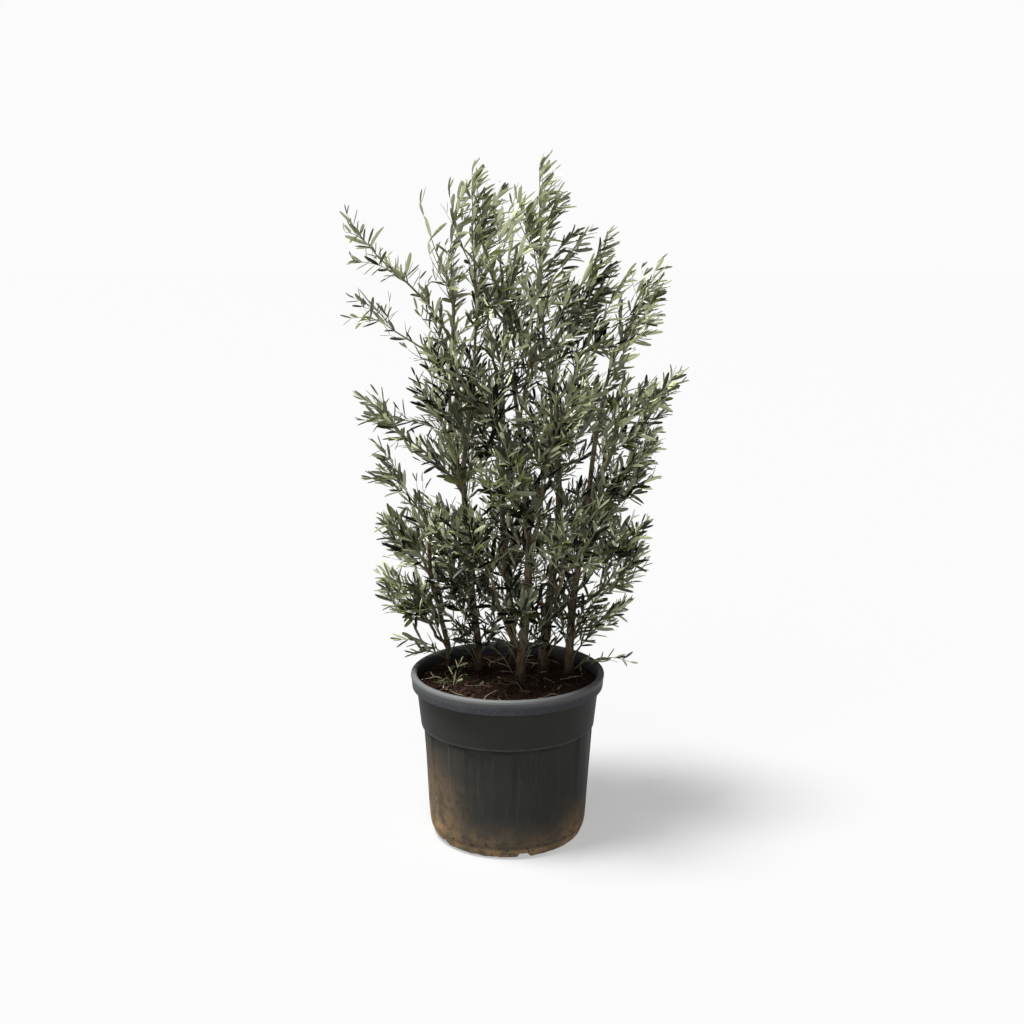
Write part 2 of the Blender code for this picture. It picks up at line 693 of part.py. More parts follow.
def leaf_object(name, leaf, collection):
    """A leaf of eight faces: a coarse sphere drawn out to a flat diamond."""
    shape = bmesh.new()
    bmesh.ops.create_uvsphere(shape, u_segments=4, v_segments=2, radius=1.0)
    root, left, tip, right = leaf_corners(*leaf)
    across = (left - right).normalized()
    above = (tip - root).normalized().cross(across)
    middle = (left + right) / 2
    half_width = (left - right).length / 2
    thickest = root.lerp(tip, LEAF_THICKEST)
    for vert in shape.verts:
        place = vert.co.copy()
        if place.z > 0.5:
            vert.co = tip
        elif place.z < -0.5:
            vert.co = root
        elif abs(place.x) > 0.5:
            vert.co = middle + across * place.x * half_width
        else:
            vert.co = thickest + above * place.y * LEAF_THICKNESS / 2
    bmesh.ops.recalc_face_normals(shape, faces=shape.faces)
    mesh = bpy.data.meshes.new(name)
    shape.to_mesh(mesh)
    shape.free()
    return add_object(name, mesh, collection)


def keep_main_body(mesh):
    """Drop loose scraps and sealed hollows, so that only the piece of the largest volume stays."""
    shape = bmesh.new()
    shape.from_mesh(mesh)
    bmesh.ops.triangulate(shape, faces=shape.faces)
    left = set(shape.faces)
    bodies = []
    while left:
        body, queue = set(), [next(iter(left))]
        while queue:
            face = queue.pop()
            if face in body:
                continue
            body.add(face)
            near = [other for edge in face.edges for other in edge.link_faces]
            queue.extend(other for other in near if other not in body)
        left -= body
        volume = sum(f.verts[0].co.dot(f.verts[1].co.cross(f.verts[2].co)) for f in body)
        bodies.append((volume, body))
    bodies.sort(key=lambda item: item[0])
    for _, body in bodies[:-1]:
        bmesh.ops.delete(shape, geom=list(body), context="FACES")
    shape.to_mesh(mesh)
    shape.free()


def limb_clearance_cutter(name, limbs, collection):
    """The limb of this name, thicker all round by the gap, as a cutter."""
    points, radii = limbs[name]
    return tube(name + "_clear", points, [radius + LIMB_CUT for radius in radii], 2, collection)


def cut_clear(obj, parent, limbs, parts_work):
    """Cut the obj's root so that it meets the limb's side with the gap, and keep its main body."""
    limb_clearance_cutter(parent, limbs, parts_work)
    difference(obj, parts_work)
    applied(obj)
    for cutter in list(parts_work.objects):
        bpy.data.objects.remove(cutter, do_unlink=True)
    keep_main_body(obj.data)


def build_limbs(limbs, parts, work, bark):
    """The stems whole, and the boughs cut clear of the limbs that bear them."""
    for name in STEMS:
        tube(name, *limbs[name], 2, parts, bark)
    for name, (parent, *_) in BOUGHS.items():
        bough = tube(name, *limbs[name], 1, parts, bark)
        cut_clear(bough, parent, limbs, work)
        bough.data.materials.clear()
        bough.data.materials.append(bark)


def build_mass(name, axes, limbs, parts, work, foliage):
    """One mass: its axis, twigs and leaves joined by one union, and cut clear of its limb's side."""
    axis = axes[name]
    last = len(axis) - 1
    slope = (AXIS_TIP_RADIUS - AXIS_RADIUS) / last
    radii = [AXIS_RADIUS + slope * i for i in range(last + 1)]
    mass = tube(name, axis, radii, 0, parts, foliage)
    twigs, leaves = grow(name, axes, limbs)
    for i, (start, end, size) in enumerate(twigs):
        twig_object(f"twig_{i}", start, end, size, work)
    for i, leaf in enumerate(leaves):
        leaf_object(f"leaf_{i}", leaf, work)
    join = mass.modifiers.new("Join", "BOOLEAN")
    join.operation = "UNION"
    join.solver = "EXACT"
    join.operand_type = "COLLECTION"
    join.collection = work
    bpy.context.view_layer.update()
    applied(mass)
    for obj in list(work.objects):
        bpy.data.objects.remove(obj, do_unlink=True)
    keep_main_body(mass.data)
    parent, share, _, _ = MASSES[name]
    if share < 1.0:
        cut_clear(mass, parent, limbs, work)
    mass.data.materials.clear()
    mass.data.materials.append(foliage)


def main():
    """Build the pot, the soil, the limbs and the masses of foliage."""
    clear_scene()
    parts = new_collection("potted_olive_bush")
    cutters = new_collection("pot_cutters")
    work = new_collection("joining")
    plastic = new_material("pot_plastic", (0.20, 0.205, 0.195), 0.62)
    earth = new_material("soil", (0.11, 0.075, 0.055), 0.95)
    bark = new_material("bark", (0.36, 0.30, 0.23), 0.85)
    foliage = new_material("foliage", (0.33, 0.36, 0.26), 0.55)
    build_pot(parts, cutters, plastic)
    build_soil(parts, earth)
    limbs = {name: stem_path(name) for name in STEMS}
    for name in BOUGHS:
        limbs[name] = bough_path(name, limbs)
    axes = {name: axis_path(name, limbs) for name in MASSES}
    build_limbs(limbs, parts, work, bark)
    for name in MASSES:
        build_mass(name, axes, limbs, parts, work, foliage)
    bpy.data.collections.remove(work)


main()
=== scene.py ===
"""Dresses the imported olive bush: its moulded pot, the soil and litter, the bark, twigs and leaves.

Lengths are in metres. The origin is the centre of the pot's underside. X runs to the right as the
bush is seen from its front, Y runs away from the viewer, and Z is up.
"""

import functools
import math
import random

import bpy
import numpy as np
from bpy.props import FloatProperty, FloatVectorProperty, IntProperty, PointerProperty
from bpy.types import Operator, Panel, PropertyGroup
from mathutils import Matrix, Vector
from mathutils.bvhtree import BVHTree


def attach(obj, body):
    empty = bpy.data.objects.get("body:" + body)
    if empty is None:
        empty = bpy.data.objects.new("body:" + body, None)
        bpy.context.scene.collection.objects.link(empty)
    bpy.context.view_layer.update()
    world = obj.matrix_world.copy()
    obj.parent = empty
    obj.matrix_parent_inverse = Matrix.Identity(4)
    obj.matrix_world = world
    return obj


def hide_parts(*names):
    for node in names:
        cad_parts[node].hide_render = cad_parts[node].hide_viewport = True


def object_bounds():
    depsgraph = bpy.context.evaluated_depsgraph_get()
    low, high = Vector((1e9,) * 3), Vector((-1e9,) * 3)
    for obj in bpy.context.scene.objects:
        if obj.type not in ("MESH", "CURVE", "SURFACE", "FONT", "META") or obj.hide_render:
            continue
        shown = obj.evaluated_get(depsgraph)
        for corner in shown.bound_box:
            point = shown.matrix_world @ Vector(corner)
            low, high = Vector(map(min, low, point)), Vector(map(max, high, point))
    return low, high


bl_info = {
    "name": "Potted olive bush",
    "version": (1, 0, 0),
    "blender": (4, 5, 0),
    "location": "3D View > Sidebar > Olive bush",
    "description": "Pot, soil, limbs, twigs and leaves of an olive bush, around its packed solids",
    "category": "Add Mesh",
}

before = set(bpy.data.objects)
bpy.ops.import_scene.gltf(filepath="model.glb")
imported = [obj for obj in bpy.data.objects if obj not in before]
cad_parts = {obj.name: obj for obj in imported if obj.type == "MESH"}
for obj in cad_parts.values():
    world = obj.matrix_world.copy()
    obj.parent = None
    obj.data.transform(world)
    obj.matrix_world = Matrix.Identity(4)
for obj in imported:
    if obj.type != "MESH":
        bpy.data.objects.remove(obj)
CAD_LOW, CAD_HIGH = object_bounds()
BODY = "root"

# Sizes of the pot, as in its solid
POT_HEIGHT = 0.542
RIM_OUTER = 0.3095
RIM_INNER = 0.2885
RIM_BAND_BOTTOM = 0.494
COLLAR_TOP_RADIUS = 0.2910
COLLAR_BOTTOM = 0.368
COLLAR_BOTTOM_RADIUS = 0.2780
WALL_TOP_RADIUS = 0.2742
WALL_FOOT = 0.085
WALL_FOOT_RADIUS = 0.2545
FOOT_RADIUS = 0.2270
FLOOR_THICKNESS = 0.008
WALL_THICKNESS = 0.0085
FLUTE_COUNT = 11
FLUTE_WIDTH = 18.0
FLUTE_FIRST = 13.5
FLUTE_TOP = COLLAR_BOTTOM - 0.004
FLUTE_FOOT = 0.110
NOTCH_COUNT = 5
NOTCH_FIRST = 13.0
NOTCH_WIDTH = 0.038
NOTCH_HEIGHT = 0.017
NOTCH_REACH = 0.030
FOOT_CRUST = 0.0022
INNER_WALL = (
    (FOOT_RADIUS - 0.014, FLOOR_THICKNESS),
    (WALL_FOOT_RADIUS - WALL_THICKNESS, WALL_FOOT),
    (WALL_TOP_RADIUS - WALL_THICKNESS, COLLAR_BOTTOM),
    (COLLAR_TOP_RADIUS - 0.0055, RIM_BAND_BOTTOM),
    (RIM_INNER, POT_HEIGHT - 0.012),
)

# How the pot and the soil are meshed: pole, eased corners, longest steps, columns, rings and gap
POLE_RADIUS = 0.030
CORNER_RADIUS = 0.0016
CORNER_STEPS = 5
INSIDE_STEP = 0.020
OUTSIDE_STEP = 0.0065
POT_COLUMNS = FLUTE_COUNT * 32
SOIL_COLUMNS = 300
SOIL_RINGS = 90
SOIL_SIDE_RINGS = 8
SOIL_SLACK = 0.001

# Sizes of the limbs and masses, as in their solids
GAP = 0.0003
SOIL_TOP = 0.503
STEM_FOOT = SOIL_TOP + GAP
STEMS = {
    "stem_left": ((-0.197, 0.145), (-0.250, 0.085, 0.93), (-0.012, 0.0), 0.0090, 0.0055),
    "stem_mid_left": ((-0.095, 0.105), (-0.105, 0.060, 1.52), (-0.035, 0.015), 0.0120, 0.0055),
    "stem_centre": ((0.044, 0.000), (0.015, -0.050, 1.48), (0.035, -0.010), 0.0145, 0.0055),
    "stem_right_centre": ((0.117, 0.100), (0.115, 0.085, 1.60), (0.045, 0.030), 0.0165, 0.0055),
    "stem_right": ((0.201, 0.080), (0.300, 0.040, 1.42), (-0.010, 0.010), 0.0140, 0.0055),
    "stem_back": ((0.020, 0.190), (-0.015, 0.200, 1.40), (-0.015, 0.040), 0.0120, 0.0055),
}
STEM_POINTS = 6
STEM_SWAY = 0.006
STEM_TAPER = 0.85
FLARE = ((0.0, 1.45), (0.014, 1.26), (0.036, 1.10), (0.075, 1.0))
BOUGHS = {
    "bough_low_left": ("stem_left", 0.18, (-0.245, 0.075, 0.66), (-0.008, -0.008), 0.0060, 0.0046),
    "bough_left_arm": ("stem_mid_left", 0.62, (-0.180, 0.045, 1.42), (-0.016, 0.0), 0.0066, 0.0048),
    "bough_top_left": ("stem_mid_left", 0.74, (-0.165, 0.030, 1.66), (-0.016, 0.0), 0.0064, 0.0048),
    "bough_front_left": ("stem_centre", 0.10, (-0.040, -0.115, 0.84), (-0.012, -0.020), 0.0080, 0.0052),
    "bough_front": ("stem_centre", 0.45, (0.105, -0.150, 1.16), (0.008, -0.015), 0.0070, 0.0048),
    "bough_front_right": ("stem_right_centre", 0.19, (0.165, -0.080, 0.84), (0.0, -0.020), 0.0075, 0.0050),
    "bough_right_low": ("stem_right", 0.24, (0.275, 0.050, 0.77), (0.010, 0.0), 0.0070, 0.0048),
    "bough_right_arm": ("stem_right", 0.62, (0.330, 0.005, 1.28), (0.012, 0.0), 0.0066, 0.0048),
    "bough_top_right": ("stem_right_centre", 0.66, (0.215, 0.060, 1.49), (0.010, 0.0), 0.0066, 0.0048),
    "bough_back_left": ("stem_back", 0.30, (-0.115, 0.265, 0.98), (-0.008, 0.012), 0.0070, 0.0048),
    "bough_back_right": ("stem_back", 0.36, (0.105, 0.275, 1.02), (0.008, 0.012), 0.0070, 0.0048),
    "bough_cut_stub": ("stem_right_centre", 0.085, (0.112, 0.085, 0.735), (0.006, 0.0), 0.0115, 0.0095),
}
BOUGH_POINTS = 5
BOUGH_SWAY = 0.004
CUT_STUB = "bough_cut_stub"
CUFF = 0.35
CUFF_FADE = 14.0
MASSES = {
    "leaves_low_left": ("bough_low_left", 1.0, (-0.415, 0.010, 0.93), 0.9),
    "leaves_left": ("stem_left", 0.72, (-0.405, -0.020, 1.13), 0.9),
    "leaves_left_shoot": ("stem_left", 1.0, (-0.395, 0.030, 1.27), 0.5),
    "leaves_left_arm": ("stem_mid_left", 0.57, (-0.455, 0.010, 1.42), 0.5),
    "leaves_left_high": ("bough_left_arm", 1.0, (-0.475, 0.030, 1.75), 0.4),
    "leaves_far_left_top": ("bough_top_left", 0.80, (-0.515, 0.000, 1.98), 0.4),
    "leaves_top_left": ("bough_top_left", 1.0, (-0.270, 0.050, 2.03), 0.5),
    "leaves_spire_left": ("stem_mid_left", 1.0, (-0.111, 0.030, 2.12), 1.0),
    "leaves_spire_centre": ("stem_centre", 1.0, (-0.040, -0.090, 2.07), 1.0),
    "leaves_spire_right": ("stem_right_centre", 1.0, (0.100, 0.050, 2.15), 0.9),
    "leaves_top_right": ("stem_right_centre", 0.84, (0.335, 0.080, 1.93), 1.0),
    "leaves_far_right_top": ("stem_right", 1.0, (0.475, 0.020, 1.85), 0.9),
    "leaves_high_right": ("bough_top_right", 1.0, (0.480, -0.060, 1.66), 0.5),
    "leaves_right": ("bough_right_arm", 1.0, (0.555, 0.000, 1.50), 0.8),
    "leaves_right_mid": ("stem_right", 0.46, (0.505, 0.060, 1.38), 1.0),
    "leaves_right_low": ("bough_right_low", 1.0, (0.440, -0.040, 1.10), 1.0),
    "leaves_front_low_left": ("bough_front_left", 1.0, (-0.210, -0.330, 1.16), 1.0),
    "leaves_front_low_right": ("bough_front_right", 1.0, (0.220, -0.350, 1.17), 1.0),
    "leaves_front_mid": ("stem_centre", 0.42, (-0.010, -0.450, 1.38), 1.0),
    "leaves_front_mid_left": ("stem_centre", 0.66, (-0.210, -0.320, 1.64), 1.0),
    "leaves_front_mid_right": ("bough_front", 1.0, (0.220, -0.370, 1.60), 1.0),
    "leaves_front_top": ("stem_centre", 0.84, (0.175, -0.200, 1.96), 1.0),
    "leaves_inner_left": ("stem_mid_left", 0.13, (-0.200, -0.120, 0.98), 1.0),
    "leaves_inner_centre": ("stem_centre", 0.16, (0.060, -0.230, 0.90), 1.0),
    "leaves_inner_right": ("stem_right", 0.10, (0.400, -0.060, 0.87), 1.0),
    "leaves_back_low_left": ("stem_left", 0.50, (-0.310, 0.340, 1.06), 1.0),
    "leaves_back_low": ("stem_back", 0.18, (0.020, 0.460, 1.06), 1.0),
    "leaves_back_low_right": ("stem_right", 0.30, (0.310, 0.340, 1.10), 1.0),
    "leaves_back_mid_left": ("bough_back_left", 1.0, (-0.290, 0.380, 1.56), 1.0),
    "leaves_back_mid_right": ("bough_back_right", 1.0, (0.290, 0.390, 1.54), 1.0),
    "leaves_back_top": ("stem_back", 1.0, (0.000, 0.310, 1.90), 1.0),
}

# The source's rule of growth
AXIS_POINTS = 4
AXIS_RADIUS = 0.0052
AXIS_TIP_RADIUS = 0.0024
AXIS_RUN_ON = 0.03
AXIS_RUN_OUT = 0.05
AXIS_LEAN = 0.5
AXIS_HOLD = 0.35
TWIG_RADIUS = 0.0034
TWIG_TIP_RADIUS = 0.0018
TWIG_NODES = (0.14, 0.40, 0.66)
TWIG_LENGTH = 0.150
TWIG_SHORTENING = 0.45
TWIG_THINNING = 0.5
TWIG_RISE = 50.0
TWIG_RISE_SPREAD = 10.0
TWIG_FIRST_TURN = 40.0
TWIG_TURN_SPREAD = 25.0
TWIG_SPREAD_PER_TRY = 10.0
TWIG_SHRINK_PER_TRY = 0.05
SPRAY_LENGTH = 0.190
SPRAY_WIDTH = 0.066
SPRAY_THICKNESS = 0.005
SPRAY_RISE = 42.0
SPRAY_WIDEST = 0.45
SPRAY_SUNK = 0.0015
TIP_SPRAY_SUNK = 0.004
SIDE_SPRAY_SIZE = 0.88
SIDE_SPRAY_SPREAD = 15.0
AXIS_SPRAY_SIZE = 0.85
AXIS_SPRAY_PLACES = (0.52, 0.84)
MOST_SPRAYS = 16
TRIES = 9
SPRAY_SPREAD = 8.0
SPRAY_SPREAD_PER_TRY = 9.0
SPRAY_SHRINK_PER_TRY = 0.045
SPACE_MARGIN = 0.004
LIMB_CLEARANCE = 0.006
SPRAY_CLEARANCE = 0.003
HULL_START = 0.13
HULL_THICKEST = 0.3
LOWEST_SPRAY = POT_HEIGHT + 0.02
TO_LIGHT = 0.30
REACH_PAST_TIP = 0.015
LEAST_REACH = 0.30
SEED = 2150

# Young shoots, finer than the source's
SHOOT_POINTS = 7
SHOOT_SWAY = 0.10
SHOOT_LIFT = 0.45
SHOOT_RADIUS = 0.0015
SHOOT_TIP_RADIUS = 0.0006
SHOOT_SHARE = 0.84
SHOOT_SIDES = 4
TWIG_SIDES = 5
AXIS_SIDES = 7
AXIS_STATIONS = 14
SIDE_SHOOT_LENGTH = 0.085
SIDE_SHOOT_RISE = 48.0
SIDE_SHOOTS = ((1, 0.0), (3, np.pi))
SPARSE = 0.6
AIRY_SPACING = 1.5
LIMB_SHOOT_SPACING = 0.042
LIMB_SHOOT_LENGTH = (0.16, 0.32)
LOWEST_LIMB_SHOOT = 0.575
FOOT_BRANCHES = 4
FOOT_BRANCH_LENGTH = (0.18, 0.34)
FOOT_BRANCH_RADIUS = 0.0027
FOOT_BRANCH_REACH = 0.30
CROWN_REACH = 0.40
LEAST_SHARE = 0.45
GOLDEN_ANGLE = 137.5
LIMB_STATIONS = 40

# A leaf: the share of its length and of its half width at each station between its ends
LEAF_STATIONS = ((0.10, 0.52), (0.36, 0.94), (0.66, 1.00), (0.90, 0.66))
LEAF_THICKNESS = 0.0009
LEAF_FOLD = 0.34
LEAF_BEND = 0.16
TIP_PAIR_RISE = 1.25
LEAF_ROLL = 0.9
LEAF_TO_LIGHT = 0.12
LEAF_OUTWARD = 0.7
LEAF_WIND = 0.70
WINDY_FROM = 1.40
WINDY_OVER = 0.45
LEAF_POINTS = 2 + 4 * len(LEAF_STATIONS)
LEAF_TURN_SPREAD = 0.22
LEAF_RISE_SPREAD = 0.28
LEAF_LENGTH_SPREAD = 0.13
LEAF_WIDTH_SPREAD = 0.12
NEAR_TIP_FROM = 0.72
NEAR_TIP_OVER = 0.28
TIP_PAIR_SHARE = 0.75
TIP_LEAF_SHORTER = 0.38
LEAF_CLEARANCE = 0.003
BOX_MARGIN = 0.018

# How a shoot's place in the crown shifts its colours, as painted shade deep in the crown and painted
# light at its rim and top, and the running shares of the colours
SHADE_BY_DEPTH = 0.90
OUTER_FROM = 0.06
OUTER_OVER = 0.30
OUTER_LIGHT = 0.64
HIGH_FROM = 1.25
HIGH_OVER = 0.75
HIGH_LIGHT = 1.02
MIDDLE_LIGHT = 0.48
UPPER_SHARES = (0.20, 0.43, 0.64, 0.85, 0.975)
UNDER_SHARES = (0.16, 0.40, 0.72)

# Where leaves start along what bears them, and how large they are
AXIS_LEAVES = (0.42, 0.95)
TWIG_LEAVES = (0.30, 0.92)
SPRAY_LEAVES_FROM = 0.10
SIDE_LEAVES = (0.25, 0.78)
FOOT_LEAVES = (0.38, 0.95)
LIMB_LEAVES = (0.22, 0.95)
TABLE_LEAVES_FROM = 0.22
TABLE_SIDE_LEAVES = (0.25, 0.85)

# How many times as thick as usual side shoots, the limbs' shoots and the tables' shoots are
SIDE_GIRTH = 0.8
LIMB_GIRTH = 1.3
TABLE_GIRTH = 1.2

# The outer table's side shoots: their share of the usual length. How far all tables' shoots bow up
TABLE_BUSHY = 0.75
TABLE_BOW = 0.018

# The parts in which the crown is shown
SECTORS = ("front", "left_low", "left_high", "right_low", "right_high", "back")
SECTOR_SPLIT = 1.45
SECTOR_DEPTH = 0.2

# Litter on the soil
DRY_TWIG_POINTS = 9

# Small shoots that the masses leave out: where each starts and ends, and its leaves' size
LOW_SHOOTS = (
    ((0.215, 0.075, 0.515), (0.300, 0.030, 0.556), 0.78),
    ((0.270, 0.045, 0.545), (0.392, 0.020, 0.560), 0.72),
    ((0.212, 0.085, 0.560), (0.385, 0.050, 0.750), 0.85),
    ((0.205, 0.070, 0.590), (0.330, 0.000, 0.690), 0.85),
    ((-0.205, 0.140, 0.545), (-0.345, 0.100, 0.610), 1.00),
    ((-0.200, 0.135, 0.530), (-0.300, 0.020, 0.590), 0.90),
    ((-0.178, -0.070, 0.503), (-0.245, -0.110, 0.548), 0.62),
    ((-0.172, -0.072, 0.503), (-0.200, -0.140, 0.552), 0.62),
    ((-0.168, -0.070, 0.503), (-0.125, -0.110, 0.560), 0.62),
    ((-0.172, -0.066, 0.503), (-0.150, -0.020, 0.572), 0.62),
    ((0.020, 0.010, 0.520), (-0.060, -0.060, 0.640), 0.70),
    ((-0.095, 0.100, 0.530), (-0.150, 0.020, 0.650), 0.80),
    ((-0.090, 0.095, 0.560), (-0.035, 0.020, 0.670), 0.80),
    ((0.120, 0.090, 0.550), (0.075, 0.010, 0.660), 0.75),
    ((-0.103, 0.100, 0.533), (-0.178, 0.040, 0.627), 0.72),
    ((-0.099, 0.100, 0.574), (-0.159, 0.050, 0.657), 0.75),
    ((-0.099, 0.100, 0.557), (-0.120, 0.020, 0.673), 0.70),
    ((-0.096, 0.100, 0.581), (-0.050, 0.050, 0.657), 0.70),
    ((0.037, 0.000, 0.546), (-0.017, -0.030, 0.642), 0.70),
    ((0.044, 0.000, 0.573), (0.008, 0.030, 0.650), 0.70),
    ((0.047, 0.000, 0.559), (0.091, -0.030, 0.635), 0.68),
    ((0.123, 0.100, 0.557), (0.157, 0.050, 0.657), 0.70),
    ((0.126, 0.100, 0.540), (0.105, 0.030, 0.630), 0.66),
    ((0.207, 0.070, 0.543), (0.265, 0.030, 0.630), 0.70),
    ((0.210, 0.070, 0.567), (0.188, 0.030, 0.650), 0.68),
)

# Shoots that round off the crown's outline: where each starts and ends, and its leaves' size
OUTER_SHOOTS = (
    ((0.166, 0.020, 1.714), (0.242, 0.000, 1.918), 0.95),
    ((0.179, 0.020, 1.699), (0.286, -0.020, 1.889), 0.95),
    ((0.147, 0.000, 1.760), (0.201, -0.050, 1.919), 0.90),
    ((0.207, 0.020, 1.653), (0.316, 0.000, 1.817), 0.95),
    ((0.238, 0.020, 1.623), (0.360, -0.020, 1.794), 0.95),
    ((0.223, 0.040, 1.621), (0.315, 0.060, 1.742), 0.90),
    ((-0.332, 0.030, 1.089), (-0.398, 0.000, 1.266), 0.90),
    ((-0.338, 0.030, 1.057), (-0.381, -0.030, 1.196), 0.90),
    ((-0.345, 0.030, 1.041), (-0.425, 0.030, 1.160), 0.90),
    ((-0.328, 0.020, 1.282), (-0.442, 0.000, 1.410), 0.95),
    ((-0.322, 0.020, 1.295), (-0.414, -0.040, 1.366), 0.90),
    ((-0.333, 0.020, 1.744), (-0.457, 0.000, 1.829), 0.90),
    ((-0.353, 0.020, 1.623), (-0.465, 0.000, 1.721), 0.90),
    ((-0.366, 0.020, 1.608), (-0.475, 0.020, 1.659), 0.90),
    ((-0.392, 0.020, 1.849), (-0.488, 0.000, 1.918), 0.85),
    ((0.359, 0.030, 1.217), (0.477, 0.000, 1.366), 0.95),
    ((0.368, 0.030, 1.233), (0.456, -0.040, 1.317), 0.90),
    ((0.375, 0.030, 1.343), (0.472, 0.020, 1.420), 0.90),
    ((0.319, 0.060, 0.621), (0.282, 0.020, 0.766), 0.85),
    ((-0.154, 0.020, 1.295), (-0.437, 0.000, 1.348), 0.95),
    ((-0.235, 0.030, 1.318), (-0.260, 0.050, 1.422), 0.85),
    ((-0.278, 0.020, 1.313), (-0.350, -0.020, 1.276), 0.80),
    ((-0.131, 0.020, 1.874), (-0.105, 0.000, 2.100), 1.00),
    ((-0.145, 0.045, 1.840), (-0.088, 0.035, 2.080), 1.00),
    ((-0.150, 0.000, 1.820), (-0.130, -0.020, 2.040), 0.95),
    ((-0.120, 0.000, 1.830), (-0.070, -0.030, 2.020), 0.95),
    ((-0.083, 0.000, 1.856), (-0.022, -0.040, 2.034), 0.95),
    ((0.044, 0.020, 1.856), (0.020, 0.000, 2.028), 0.95),
    ((0.068, 0.020, 1.862), (0.095, -0.020, 2.110), 1.00),
    ((0.092, 0.000, 1.874), (0.155, -0.050, 2.011), 0.95),
    ((-0.022, 0.000, 1.865), (0.038, 0.050, 2.000), 0.95),
)

# Open places in the crown: X, Z and radius, and the share cleared away. How much of that share
# counts for whole shoots, and how much for single leaves
SHOOTS_CLEARED = 0.65
LEAVES_CLEARED = 0.45
OPEN_PLACES = (
    (0.020, 2.020, 0.480, 0.54),
    (0.480, 1.500, 0.200, 0.40),
    (-0.300, 0.800, 0.240, 0.42),
    (0.000, 0.600, 0.340, 0.30),
    (0.050, 1.250, 0.350, 0.20),
    (0.330, 1.050, 0.200, 0.26),
    (-0.300, 1.360, 0.130, 0.60),
    (-0.360, 1.560, 0.120, 0.35),
    (-0.310, 1.100, 0.140, 0.50),
    (0.030, 0.860, 0.260, 0.42),
    (-0.256, 0.617, 0.055, 0.40),
    (-0.239, 1.865, 0.074, 0.40),
    (-0.295, 1.760, 0.068, 0.35),
    (0.002, 1.865, 0.043, 0.40),
    (0.002, 1.715, 0.043, 0.35),
    (0.002, 2.018, 0.037, 0.35),
    (-0.283, 1.502, 0.068, 0.50),
    (0.375, 1.527, 0.056, 0.45),
    (-0.302, 1.291, 0.050, 0.50),
    (-0.368, 1.025, 0.050, 0.50),
    (0.354, 1.348, 0.037, 0.30),
    (-0.180, 1.745, 0.050, 0.40),
    (0.198, 0.785, 0.037, 0.50),
)


def linear(red, green, blue):
    """A linear colour from sRGB levels of 0 to 255."""
    levels = [level / 255 for level in (red, green, blue)]
    return tuple(((c + 0.055) / 1.055) ** 2.4 if c > 0.04045 else c / 12.92 for c in levels)


def colour_property(name, description, default):
    """A colour setting."""
    return FloatVectorProperty(
        name=name, description=description, default=default, subtype="COLOR", size=3, min=0.0, max=1.0
    )


def length_property(name, description, default):
    """A length setting, in metres."""
    return FloatProperty(name=name, description=description, default=default, unit="LENGTH")


class PotSettings(PropertyGroup):
    """Sizes and colours of the pot."""

    flute_depth: length_property("Flute depth", "Depth of each flute under the collar", 0.0065)
    dust_height: length_property("Dust height", "How far the dried soil reaches up the wall", 0.150)
    grain: length_property("Grain", "Depth of the moulded grain and the fine streaks", 0.0006)
    plastic: colour_property("Plastic", "Colour of the clean plastic", linear(35, 36, 33))
    # The scuffed plastic's colour, also what the rim's top and the collar's lip are lightened towards as a
    # painted highlight
    worn_and_highlight: colour_property("Worn plastic", "Colour of the scuffed plastic", linear(92, 93, 92))
    rim: colour_property("Rim", "Colour of the bleached rim", linear(53, 54, 58))
    dust: colour_property("Dust", "Colour of the dried soil on the wall", linear(151, 123, 88))


class SoilSettings(PropertyGroup):
    """Sizes and colours of the soil and what lies on it."""

    lump_height: length_property("Lump height", "Height of the lumps in the soil", 0.0035)
    chips: IntProperty(name="Chips", description="Number of bark chips and crumbs", default=3200)
    dry_twigs: IntProperty(name="Dry twigs", description="Number of dry twigs", default=44)
    fallen_leaves: IntProperty(name="Fallen leaves", description="Number of fallen leaves", default=16)
    earth: colour_property("Earth", "Colour of the moist soil", linear(25, 17, 12))
    crumb: colour_property("Crumb", "Colour of the drier crumbs", linear(64, 41, 28))


class LimbSettings(PropertyGroup):
    """Relief and colours of the bark."""

    relief: FloatProperty(
        name="Relief", description="Depth of the bark's ridges as a share of the radius", default=0.075
    )
    fissure: length_property("Fissure", "Depth of the fine fissures", 0.0011)
    grey: colour_property("Grey bark", "Colour of the weathered bark", linear(110, 101, 82))
    brown: colour_property("Brown bark", "Colour of the warmer patches", linear(94, 77, 57))
    dark: colour_property("Fissures", "Colour inside the fissures", linear(30, 24, 18))
    young: colour_property("Young bark", "Colour of the smooth bark high up", linear(118, 114, 90))
    cut: colour_property("Cut wood", "Colour of an old pruning cut", linear(104, 60, 44))


class CrownSettings(PropertyGroup):
    """Sizes and colours of the twigs and leaves."""

    leaf_length: length_property("Leaf length", "Length of a full-grown leaf", 0.063)
    leaf_width: length_property("Leaf width", "Width of a full-grown leaf", 0.0114)
    leaf_spacing: length_property("Leaf spacing", "Distance from one pair of leaves to the next", 0.0200)
    leaf_rise: FloatProperty(
        name="Leaf rise", description="Lean of a leaf towards its shoot's tip",
        default=math.radians(42.0), subtype="ANGLE",
    )
    upper: colour_property("Upper side", "Colour of a leaf's upper side", linear(66, 71, 38))
    under: colour_property("Underside", "Colour of a leaf's felted underside", linear(158, 162, 129))
    young: colour_property("Young leaf", "Colour of a young leaf's upper side", linear(102, 105, 74))
    old_twig: colour_property("Old twig", "Colour of a twig with bark", linear(108, 101, 80))
    young_twig: colour_property("Young twig", "Colour of a green shoot", linear(132, 130, 104))


